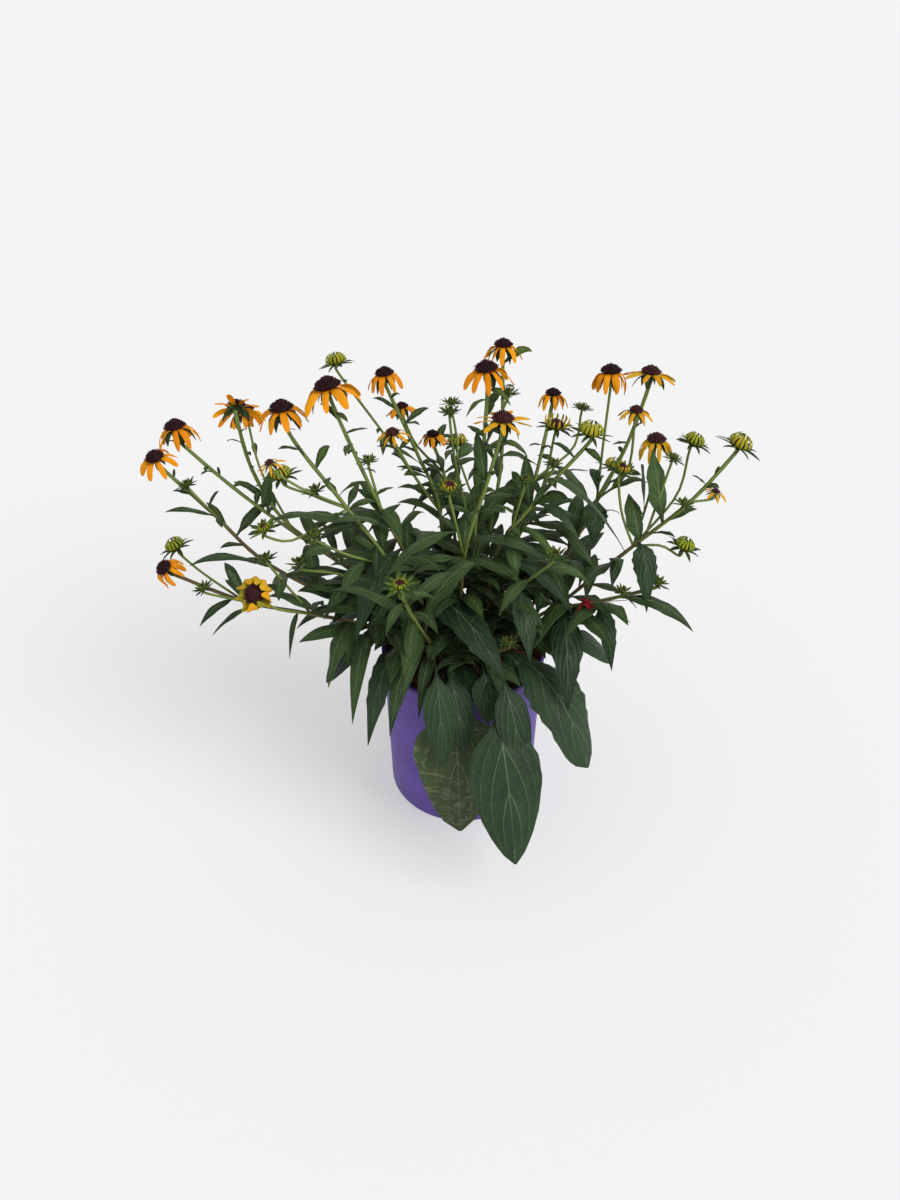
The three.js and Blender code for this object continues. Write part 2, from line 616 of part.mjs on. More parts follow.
/** The green cup of a head, with its ring of bract points and the points of an opening bud's young rays. */
function greenCup(kind, settings, frame, index) {
  const { size, droop } = settings;
  const { points, rings } = HEAD_KINDS[kind];
  const profile = rings.map(([radius, height]) => [radius * size, height * size]);
  const hang = kind === 'bloom' ? TIP_DRAW_IN * (droop / 90) : 0;
  if (kind === 'bloom') {
    profile.slice(-2).forEach((ring) => ring.splice(1, 1, -RAY_THICKNESS / 2 - CUP_GAP));
  }
  const geometry = lathe(profile, 2 * points);
  const place = geometry.attributes.position;
  for (let i = 0; i < place.count; i += 1) {
    const [radius, , tipRadius, tipHeight, between] = rings[i % rings.length];
    const turn = Math.floor(i / rings.length);
    if (tipRadius && turn % 2 === (between ? 1 : 0)) {
      const stretch = (tipRadius - hang) / radius;
      place.setXYZ(i, place.getX(i) * stretch, place.getY(i) * stretch, tipHeight * size);
    }
  }
  return solidOf(geometry.rotateZ(2 * Math.PI * jitter(index, 3)).applyMatrix4(frame));
}

/** One ray of a bloom, which keeps clear of its neighbours: it hangs lower or is shorter there. */
function fittedRay(node, settings, frame, index, i) {
  const { size, droop, rays, reach: share } = settings;
  const angle = 2 * Math.PI * (jitter(index, 5) + (i + 0.3 * jitter(index, i + 20)) / rays);
  const side = new THREE.Vector3(Math.sin(angle), -Math.cos(angle), 0).transformDirection(frame);
  const width = 2 * RAY_HALF_WIDTH * size + 2 * CLEARANCE;
  for (const [, lift, scale] of TRIES) {
    const hang = THREE.MathUtils.degToRad(droop + RAY_SWAY * (jitter(index, i) - 0.5) - 1.5 * lift);
    const own = 1 + RAY_SPREAD * (jitter(i, index) - 0.5);
    const curve = rayCurve(angle, size, RAY_LENGTH * share * size * scale * own, hang);
    const knots = [curve.v0, curve.v1, curve.v2].map((point) => point.clone().applyMatrix4(frame));
    const placedCurve = new THREE.QuadraticBezierCurve3(...knots);
    const guard = blade(placedCurve, side, FORMS.ray, width, RAY_THICKNESS + 2 * CLEARANCE);
    if (isClear(node, guard)) {
      remember(node, guard);
      return { angle, curve };
    }
  }
  return { angle, curve: rayCurve(angle, size, STUB_RAY_SHARE * RAY_LENGTH * size, 0) };
}

/** The ring of rays of a bloom: one plate in the outline of all its rays, bent down along their midribs. */
function rayRing(node, settings, frame, index) {
  const { size, rays } = settings;
  const outline = [];
  const heights = [];
  for (let i = 0; i < rays; i += 1) {
    const { angle, curve } = fittedRay(node, settings, frame, index, i);
    const middle = curve.getPoint(FORMS.ray.along[1]);
    const across = new THREE.Vector3(Math.sin(angle), -Math.cos(angle), 0);
    across.multiplyScalar(RAY_HALF_WIDTH * size);
    const notch = angle - Math.PI / rays;
    const hub = new THREE.Vector3(Math.cos(notch), Math.sin(notch), 0).multiplyScalar(HUB_RADIUS * size);
    const corners = [hub, middle.clone().add(across), curve.v2, middle.clone().sub(across)];
    outline.push(...corners.map(({ x, y }) => new THREE.Vector2(x, y)));
    heights.push(...corners.map(({ z }) => z));
  }
  const plate = { depth: RAY_THICKNESS, bevelEnabled: false };
  const geometry = new THREE.ExtrudeGeometry(new THREE.Shape(outline), plate);
  const place = geometry.attributes.position;
  for (let i = 0; i < place.count; i += 1) {
    const corner = new THREE.Vector2(place.getX(i), place.getY(i));
    const distances = outline.map((point) => point.distanceTo(corner));
    const nearest = distances.indexOf(Math.min(...distances));
    place.setZ(i, place.getZ(i) - RAY_THICKNESS / 2 + heights[nearest]);
  }
  return solidOf(geometry.applyMatrix4(frame));
}

/** The squat disc of a bloom, with its florets as a relief of rises and dips in turn. */
function discCone(settings, frame) {
  const radius = DISC_RADIUS * settings.size;
  const height = DISC_HEIGHT * settings.size;
  const low = DISC_BASE + DISC_RIM;
  const rings = DISC_PROFILE.map(([out, up]) => [radius * out, low + height * up]);
  const profile = [[0, DISC_BASE], [0.85 * radius, DISC_BASE], ...rings];
  const geometry = lathe(profile, DISC_SIDES);
  const place = geometry.attributes.position;
  for (let i = 0; i < place.count; i += 1) {
    const level = i % profile.length;
    const turn = Math.floor(i / profile.length) % DISC_SIDES;
    const swell = 1 + ((level + turn) % 2 === 0 ? FLORET_RELIEF : -FLORET_RELIEF) / radius;
    if (level > 2 && level < profile.length - 1) {
      place.setXYZ(i, place.getX(i) * swell, place.getY(i) * swell, place.getZ(i) * swell);
    }
  }
  return solidOf(geometry.applyMatrix4(frame));
}

/** The curve of a shoot. It ends in the base of its head's cup and arrives along the head's axis. */
function shootCurve(stem, shoot, settings) {
  const [, , centre] = shoot.head;
  const axis = vec(settings.axis).normalize();
  const points = shoot.via.map(vec);
  if (!shoot.side) {
    points.unshift(vec([...stem.foot, FOOT_TOP]));
  }
  points.push(vec(centre).addScaledVector(axis, -(CUP_DEPTH + NECK_LENGTH) * settings.size));
  points.push(vec(centre).addScaledVector(axis, -(CUP_DEPTH - 1) * settings.size));
  return new THREE.CatmullRomCurve3(points, false, 'catmullrom', 0.5);
}

/** A shoot's solid, swept along its curve. */
function shootSolid(curve, radius) {
  const steps = Math.max(3, Math.round(curve.getLength() / STEM_STEP) + 1);
  const sweep = { steps, bevelEnabled: false, extrudePath: curve };
  return solidOf(new THREE.ExtrudeGeometry(polygon(radius, STEM_SIDES), sweep));
}

/** The upright foot of a stem in the mix. */
function footSolid([x, y], radius, low, high) {
  const foot = new THREE.CylinderGeometry(radius, radius, high - low, FOOT_SIDES).rotateX(Math.PI / 2);
  return solidOf(foot.translate(x, y, (low + high) / 2));
}

/** The point of a stem's shoots that lies nearest to a given point. */
function nearestOnStem(curves, target) {
  const samples = curves.flatMap((curve) => curve.getPoints(48));
  const distances = samples.map((point) => point.distanceTo(target));
  return samples[distances.indexOf(Math.min(...distances))];
}

/** The radius of the pot's outer wall at a height. */
function wall(height) {
  return POT_BASE_RADIUS + ((POT_RIM_RADIUS - RIM_LIP - POT_BASE_RADIUS) * height) / POT_HEIGHT;
}

/** Pot: a lathed wall and floor with a lip at the rim, and drain slots cut through the bottom corner. */
function potSolid() {
  const lipStart = POT_HEIGHT - RIM_LIP_HEIGHT;
  const profile = [
    [0, 0],
    [POT_BASE_RADIUS - 2, 0],
    [wall(2), 2],
    [wall(lipStart), lipStart],
    [POT_RIM_RADIUS, lipStart + 1],
    [POT_RIM_RADIUS, POT_HEIGHT - 0.6],
    [POT_RIM_RADIUS - 0.7, POT_HEIGHT],
    [POT_RIM_RADIUS - RIM_LIP - POT_WALL, POT_HEIGHT],
    [wall(POT_FLOOR) - POT_WALL, POT_FLOOR],
    [0, POT_FLOOR],
  ];
  let pot = solidOf(lathe(profile, POT_SIDES));
  for (let i = 0; i < DRAIN_SLOTS; i += 1) {
    const { length, width, height } = DRAIN_SLOT;
    const slot = new THREE.BoxGeometry(length, width, height).translate(POT_BASE_RADIUS, 0, 0);
    const azimuth = THREE.MathUtils.degToRad(FIRST_DRAIN_SLOT + (360 * i) / DRAIN_SLOTS);
    pot = pot.subtract(solidOf(slot.rotateZ(azimuth)));
  }
  return pot;
}

/** Potting mix: fills the pot, with a lumpy top and a plain hole for each stem's foot. */
function soilSolid() {
  const inset = POT_WALL + 2 * CLEARANCE;
  const low = POT_FLOOR + CLEARANCE;
  const shoulder = SOIL_TOP - 4;
  const profile = [[0, low], [wall(low) - inset, low], [wall(shoulder) - inset, shoulder]];
  profile.push(...SOIL_RINGS.toReversed().map((radius) => [radius, SOIL_TOP]));
  const geometry = lathe(profile, SOIL_SIDES);
  const place = geometry.attributes.position;
  for (let i = 0; i < place.count; i += 1) {
    const level = i % profile.length;
    const turn = Math.floor(i / profile.length) % SOIL_SIDES;
    if (level > 2 && level < profile.length - 1) {
      place.setZ(i, place.getZ(i) + SOIL_BUMP * (2 * jitter(level, turn) - 1));
    }
  }
  const deep = SOIL_TOP - FOOT_DEPTH - 1;
  const holes = STEMS.map(({ foot }) => footSolid(foot, FOOT_RADIUS + CLEARANCE, deep, FOOT_TOP));
  return holes.reduce((mix, hole) => mix.subtract(hole), solidOf(geometry));
}

/** The share of its usual length that a leaf has. */
function lengthShare(index, i) {
  return LEAST_LENGTH + LENGTH_SPREAD * jitter(index, i);
}

/** The share of its length that a leaf keeps at a height. */
function heightShare(height) {
  return THREE.MathUtils.clamp(1 - (height - CROWN_HEIGHT) / CROWN_FADE, HIGH_LEAF_SHARE, 1);
}

/** Leaves by rule along a shoot, each a golden angle further round than the last, up to its bare neck. */
function ruleLeaves(node, curve, index, longest) {
  const solids = [];
  const shootLength = curve.getLength();
  const count = Math.floor(shootLength / LEAF_SPACING);
  for (let i = 1; i < count; i += 1) {
    const share = i / count;
    if ((1 - share) * shootLength < BARE_NECK) break;
    const root = curve.getPoint(share);
    const usual = THREE.MathUtils.lerp(longest, SHORTEST_LEAF, share);
    const length = usual * lengthShare(index, i) * heightShare(root.z);
    const way = wayTo(GOLDEN_ANGLE * (i + 3 * index), THREE.MathUtils.degToRad(LEAF_LIFT * share));
    const tip = root.clone().addScaledVector(way, length);
    const leaf = fittedLeaf(node, root, tip, LEAF_WIDTH_SHARE * length, 'lance', LEAF_RISE_SHARE * length);
    if (leaf) solids.push(leaf);
  }
  return solids;
}

/** The low leaves by rule: they rise from the foot and spread over the mix, fewer on a stem of few shoots. */
function crownLeaves(node, curves, index) {
  const grown = CROWN_LEAVES.slice(0, curves.length - 1);
  const leaves = grown.map(({ share, turn, length, width, climb, rise }) => {
    const root = curves[0].getPoint(share);
    const level = wayTo(GOLDEN_ANGLE * (index + turn), 0);
    const tip = root.clone().addScaledVector(level, length * lengthShare(index, 11 + turn));
    tip.z += climb;
    return fittedLeaf(node, root, tip, width, 'lance', rise);
  });
  return leaves.filter((leaf) => leaf);
}

const plant = new THREE.Group();
const pot = remember('pot', potSolid());
const soil = remember('soil', soilSolid());
plant.add(meshOf('pot', pot, POT_FINISH));
plant.add(meshOf('soil', soil, SOIL_FINISH));

// Shoots, cups and discs first, because they hold their places.
const blooms = [];
const stems = STEMS.map((stem, stemIndex) => {
  const solids = [footSolid(stem.foot, FOOT_RADIUS, SOIL_TOP - FOOT_DEPTH, FOOT_TOP + 2)];
  const curves = stem.shoots.map((shoot, shootIndex) => {
    const [name, kind, centre] = shoot.head;
    const index = 10 * stemIndex + shootIndex;
    const settings = headSettings(name, kind, centre, index);
    const frame = headFrame(centre, settings.axis);
    const curve = shootCurve(stem, shoot, settings);
    solids.push(shootSolid(curve, shoot.side ? SIDE_RADIUS : STEM_RADIUS));
    solids.push(greenCup(kind, settings, frame, index));
    if (kind === 'bloom') {
      blooms.push({ name, settings, frame, index, disc: discCone(settings, frame) });
    }
    return curve;
  });
  solids.forEach((solid) => remember(stem.name, solid));
  return { name: stem.name, solids, curves };
});
blooms.forEach(({ name, disc }) => remember(`${name}_cone`, disc));

for (const { name, settings, frame, index, disc } of blooms) {
  plant.add(meshOf(`${name}_rays`, rayRing(`${name}_rays`, settings, frame, index), RAY_FINISH));
  plant.add(meshOf(`${name}_cone`, disc, DISC_FINISH));
}

for (const [stemNumber, near, tip, width, form, rise] of LEAVES) {
  const stem = stems[stemNumber - 1];
  const root = nearestOnStem(stem.curves, vec(near));
  const leaf = fittedLeaf(stem.name, root, vec(tip), width, form, rise);
  if (leaf) stem.solids.push(leaf);
}
stems.forEach((stem, index) => {
  stem.solids.push(...crownLeaves(stem.name, stem.curves, index));
  stem.curves.forEach((curve, turn) => {
    const longest = turn === 0 ? LONGEST_LEAF : LONGEST_SIDE_LEAF;
    stem.solids.push(...ruleLeaves(stem.name, curve, index + stems.length * turn, longest));
  });
  plant.add(meshOf(stem.name, join(stem.solids), GREEN_FINISH));
});

export default plant;
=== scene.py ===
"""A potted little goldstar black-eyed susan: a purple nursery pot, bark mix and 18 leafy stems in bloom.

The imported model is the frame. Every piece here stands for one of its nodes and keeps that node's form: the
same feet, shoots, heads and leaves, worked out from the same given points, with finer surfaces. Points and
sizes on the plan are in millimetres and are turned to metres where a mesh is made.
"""

import logging
import math
from dataclasses import dataclass, field
from enum import Enum
from functools import partial

import bmesh
import bpy
import numpy as np
from mathutils import Matrix, Vector
from mathutils.kdtree import KDTree


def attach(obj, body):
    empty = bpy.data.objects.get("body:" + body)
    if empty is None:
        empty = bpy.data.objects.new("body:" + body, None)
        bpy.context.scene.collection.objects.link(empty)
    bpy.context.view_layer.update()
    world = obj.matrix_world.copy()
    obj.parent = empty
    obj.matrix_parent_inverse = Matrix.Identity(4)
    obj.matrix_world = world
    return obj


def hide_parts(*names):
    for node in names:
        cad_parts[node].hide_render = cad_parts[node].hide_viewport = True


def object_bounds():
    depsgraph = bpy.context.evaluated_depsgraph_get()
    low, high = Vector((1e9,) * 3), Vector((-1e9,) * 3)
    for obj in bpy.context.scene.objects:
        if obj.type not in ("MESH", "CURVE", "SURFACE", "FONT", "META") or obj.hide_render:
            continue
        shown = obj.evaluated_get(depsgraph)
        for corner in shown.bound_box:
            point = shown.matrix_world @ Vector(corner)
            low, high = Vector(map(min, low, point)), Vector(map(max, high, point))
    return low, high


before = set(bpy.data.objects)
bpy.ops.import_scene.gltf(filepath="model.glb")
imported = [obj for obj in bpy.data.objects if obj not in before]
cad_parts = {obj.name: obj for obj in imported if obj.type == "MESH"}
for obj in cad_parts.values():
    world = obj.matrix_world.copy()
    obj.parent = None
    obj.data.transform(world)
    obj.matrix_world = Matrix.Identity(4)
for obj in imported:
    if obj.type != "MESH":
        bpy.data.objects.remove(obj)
cad_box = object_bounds()

LOG = logging.getLogger("potted_plant")
MM = 0.001
BODY = "root"
GOLDEN_ANGLE = math.pi * (3 - math.sqrt(5))

Point = tuple[float, float, float]


class HeadKind(Enum):
    """How far a flower head has opened."""

    BLOOM = "bloom"
    SMALL_BLOOM = "small_bloom"
    OPENING = "opening"
    STAR = "star"
    CUP = "cup"
    BUD = "bud"


class LeafForm(Enum):
    """The outline of a leaf. The old one is heart-like, and withers."""

    LANCE = "lance"
    TOOTHED = "toothed"
    BLUNT = "blunt"
    BROAD = "broad"
    OLD = "old"


BLOOM, SMALL_BLOOM, OPENING, STAR, CUP, BUD = HeadKind
LANCE, TOOTHED, BLUNT, BROAD, OLD = LeafForm


@dataclass(frozen=True)
class Shoot:
    """A shoot: the points it passes, in mm, and its head. A side shoot starts at the first point."""

    via: list[Point]
    kind: HeadKind
    centre: Point
    bloom: str = ""
    main: bool = False


@dataclass(frozen=True)
class StemPlan:
    """A stem's name, where its foot stands in the mix, in mm, and its shoots."""

    name: str
    foot: tuple[float, float]
    shoots: list[Shoot]


@dataclass(frozen=True)
class HeadDetail:
    """The way a head faces, its scale, how far its rays hang in degrees, their number and share of length.

    A young head has narrower, yellower rays and a browner disc.
    """

    axis: Point = (0, -0.05, 1)
    size: float = 0.7
    droop: float = 35
    rays: int = 8
    reach: float = 1
    young: bool = False


@dataclass(frozen=True)
class RingPlan:
    """A ring of bracts or rays round a head, for a scale of 1, in mm.

    The offset is the ring's turn as a share of the step between two blades. The points are the start, crest
    and end of each blade, as distance from the head's axis and height. The spread is how far the ends vary,
    and the salt tells the ring's variation from the others'.
    """

    count: int
    offset: float
    points: list[tuple[float, float]]
    half: float
    spread: float
    tone: float
    salt: int
    fold: float = 0.25


@dataclass(frozen=True)
class HeadPlan:
    """A head that isn't fully open: its rings of bracts, its young rays, and its disc's width and height."""

    bracts: list[RingPlan]
    rays: list[RingPlan]
    disc: tuple[float, float]


LeafRow = tuple[int, Point, Point, float, LeafForm, float]
FineLeafRow = tuple[str, Point, Point, float, float]

STEMS: list[StemPlan] = [
    StemPlan("stem_01", (-50, 4), [
        Shoot(
            [(-135, 5, 245), (-200, 20, 280), (-245, 35, 325)],
            BLOOM, (-289, 30, 391), "bloom_01", main=True,
        ),
        Shoot([(-245, 35, 325)], BUD, (-264, 30, 362)),
    ]),
    StemPlan("stem_02", (-42, 18), [
        Shoot(
            [(-85, 16, 245), (-160, 32, 298), (-222, 50, 342)],
            BLOOM, (-275, 64, 403), "bloom_02", main=True,
        ),
        Shoot([(-85, 16, 245), (-120, 2, 275)], BUD, (-157, -12, 300)),
    ]),
    StemPlan("stem_03", (-34, 34), [
        Shoot(
            [(-100, 48, 240), (-175, 62, 290), (-208, 75, 345)],
            BLOOM, (-218, 82, 414), "bloom_03", main=True,
        ),
        Shoot([(-175, 62, 290), (-208, 112, 325)], BLOOM, (-222, 142, 376), "bloom_04"),
    ]),
    StemPlan("stem_04", (-34, -2), [
        Shoot(
            [(-72, 4, 285), (-112, 24, 338), (-155, 48, 388)],
            BLOOM, (-171, 58, 426), "bloom_05", main=True,
        ),
        Shoot([(-112, 24, 338), (-142, 30, 348)], OPENING, (-174, 36, 368)),
        Shoot([(-72, 4, 285), (-108, -8, 305)], BUD, (-142, -4, 328)),
        Shoot([(-112, 24, 338), (-160, -4, 322)], STAR, (-187, -14, 342)),
    ]),
    StemPlan("stem_05", (-22, 10), [
        Shoot(
            [(-50, 16, 270), (-80, 28, 335), (-105, 42, 392)],
            BLOOM, (-126, 58, 449), "bloom_06", main=True,
        ),
        Shoot([(-80, 28, 335)], BUD, (-92, 44, 380)),
    ]),
    StemPlan("stem_06", (-16, 32), [
        Shoot([(-24, 58, 312), (-46, 85, 362)], BLOOM, (-77, 114, 433), "bloom_07", main=True),
        Shoot([(-24, 58, 312), (-84, 112, 375)], OPENING, (-126, 142, 432)),
        Shoot([(-24, 58, 312), (-46, 56, 350)], BLOOM, (-68, 56, 402), "bloom_08"),
    ]),
    StemPlan("stem_07", (2, 34), [
        Shoot([(-10, 60, 290), (-20, 92, 335)], BLOOM, (-31, 106, 370), "bloom_09", main=True),
        Shoot([(-10, 60, 290), (-6, 118, 345)], BUD, (-12, 134, 392)),
        Shoot([(-20, 92, 335), (-48, 118, 352)], BLOOM, (-62, 126, 390), "bloom_10"),
    ]),
    StemPlan("stem_08", (8, 10), [
        Shoot([(10, 24, 300), (18, 48, 390)], BLOOM, (20, 64, 464), "bloom_11", main=True),
        Shoot([(18, 48, 390)], BUD, (40, 66, 440)),
        Shoot([(10, 24, 300), (-8, 44, 375)], BUD, (-14, 58, 425)),
    ]),
    StemPlan("stem_09", (-4, -12), [
        Shoot([(0, -4, 300), (20, 8, 375)], BLOOM, (34, 20, 437), "bloom_12", main=True),
        Shoot([(0, -4, 300)], CUP, (-14, -16, 388)),
    ]),
    StemPlan("stem_10", (20, 32), [
        Shoot([(26, 55, 285), (38, 98, 345)], BLOOM, (38, 130, 455), "bloom_13", main=True),
        Shoot([(26, 55, 285), (8, 110, 300)], OPENING, (-6, 158, 330)),
    ]),
    StemPlan("stem_11", (34, 18), [
        Shoot([(48, 45, 270), (72, 88, 330)], BLOOM, (90, 138, 398), "bloom_14", main=True),
        Shoot([(48, 45, 270), (76, 58, 335)], OPENING, (88, 70, 402)),
        Shoot([(72, 88, 330), (112, 122, 345)], BUD, (122, 148, 378)),
    ]),
    StemPlan("stem_12", (22, -2), [
        Shoot([(30, 8, 290), (66, 22, 345)], OPENING, (118, 44, 410), main=True),
        Shoot([(26, 3, 240), (58, -36, 296)], BUD, (80, -66, 350)),
        Shoot([(66, 22, 345)], BUD, (84, 30, 385)),
    ]),
    StemPlan("stem_13", (44, 4), [
        Shoot(
            [(100, 45, 255), (135, 78, 312), (162, 98, 362)],
            BLOOM, (181, 114, 434), "bloom_15", main=True,
        ),
        Shoot([(135, 78, 312), (138, 92, 365)], BLOOM, (142, 112, 436), "bloom_16"),
        Shoot([(135, 78, 312), (160, 66, 352)], BLOOM, (162, 66, 420), "bloom_17"),
        Shoot([(100, 45, 255), (128, 98, 270)], OPENING, (160, 142, 310)),
    ]),
    StemPlan("stem_14", (44, -12), [
        Shoot([(105, 4, 245), (165, 15, 300), (216, 25, 345)], OPENING, (256, 35, 402), main=True),
        Shoot([(165, 15, 300), (184, 58, 338)], BLOOM, (188, 82, 378), "bloom_18"),
        Shoot([(165, 15, 300), (150, 12, 340)], CUP, (146, 14, 388)),
        Shoot([(165, 15, 300), (208, 50, 335)], OPENING, (222, 70, 384)),
        Shoot([(216, 25, 345)], SMALL_BLOOM, (246, 50, 340)),
        Shoot([(165, 15, 300), (192, 16, 300)], OPENING, (216, 20, 296)),
    ]),
    StemPlan("stem_15", (30, -28), [
        Shoot([(75, -18, 240), (130, -16, 255)], BUD, (188, -8, 274), main=True),
        Shoot([(75, -18, 240), (118, -26, 262)], BUD, (150, -38, 286)),
    ]),
    StemPlan("stem_16", (-44, -18), [
        Shoot(
            [(-90, -16, 222), (-150, -20, 243), (-215, -15, 255)],
            BLOOM, (-291, 0, 284), "bloom_19", main=True,
        ),
        Shoot([(-215, -15, 255), (-258, 22, 258)], OPENING, (-290, 44, 278)),
        Shoot([(-150, -20, 243), (-180, -42, 268)], BLOOM, (-193, -64, 303), "bloom_20"),
        Shoot([(-215, -15, 255)], BUD, (-249, -30, 284)),
    ]),
    StemPlan("stem_17", (-14, -34), [
        Shoot([(-40, -50, 245), (-52, -90, 310)], STAR, (-56, -122, 360), main=True),
    ]),
    StemPlan("stem_18", (12, -38), [
        Shoot([(18, -48, 212)], BUD, (42, -70, 250), main=True),
    ]),
]

HEAD_DETAILS: dict[str, HeadDetail] = {
    "bloom_01": HeadDetail((-0.2, -0.2, 0.95), 0.78, 46, 8),
    "bloom_02": HeadDetail((-0.15, 0.2, 1), 0.9, 52, 9),
    "bloom_03": HeadDetail((-0.1, 0.95, 0.3), 0.85, 20, 9),
    "bloom_04": HeadDetail((-0.2, 0.4, 1), 0.8, 45, 8),
    "bloom_05": HeadDetail((-0.12, 0.18, 1), 1, 42, 9),
    "bloom_06": HeadDetail((-0.22, 0.2, 1), 1.1, 40, 9),
    "bloom_07": HeadDetail((-0.1, 0.2, 1), 0.8, 50, 9),
    "bloom_08": HeadDetail((-0.1, 0, 1), 0.58, 25, 8, young=True),
    "bloom_09": HeadDetail((0, 0.1, 1), 0.58, 40, 8),
    "bloom_10": HeadDetail((-0.15, 0.3, 1), 0.6, 30, 8),
    "bloom_11": HeadDetail((-0.1, 0.15, 1), 0.95, 45, 9),
    "bloom_12": HeadDetail((0.05, 0.12, 1), 0.9, 8, 9, young=True),
    "bloom_13": HeadDetail((0.02, 0.25, 1), 0.8, 45, 9),
    "bloom_14": HeadDetail((0.05, 0.25, 1), 0.7, 55, 9),
    "bloom_15": HeadDetail((0.08, 0.28, 1), 0.85, 14, 9, young=True),
    "bloom_16": HeadDetail((-0.03, 0.28, 1), 0.9, 62, 9),
    "bloom_17": HeadDetail((0.05, 0.1, 1), 0.6, 30, 8, young=True),
    "bloom_18": HeadDetail((0.05, 0.2, 1), 0.85, 62, 10, young=True),
    "bloom_19": HeadDetail((-0.45, -0.3, 0.8), 0.75, 62, 9),
    "bloom_20": HeadDetail((-0.15, -0.72, 0.68), 0.95, 5, 9, 0.5, young=True),
}

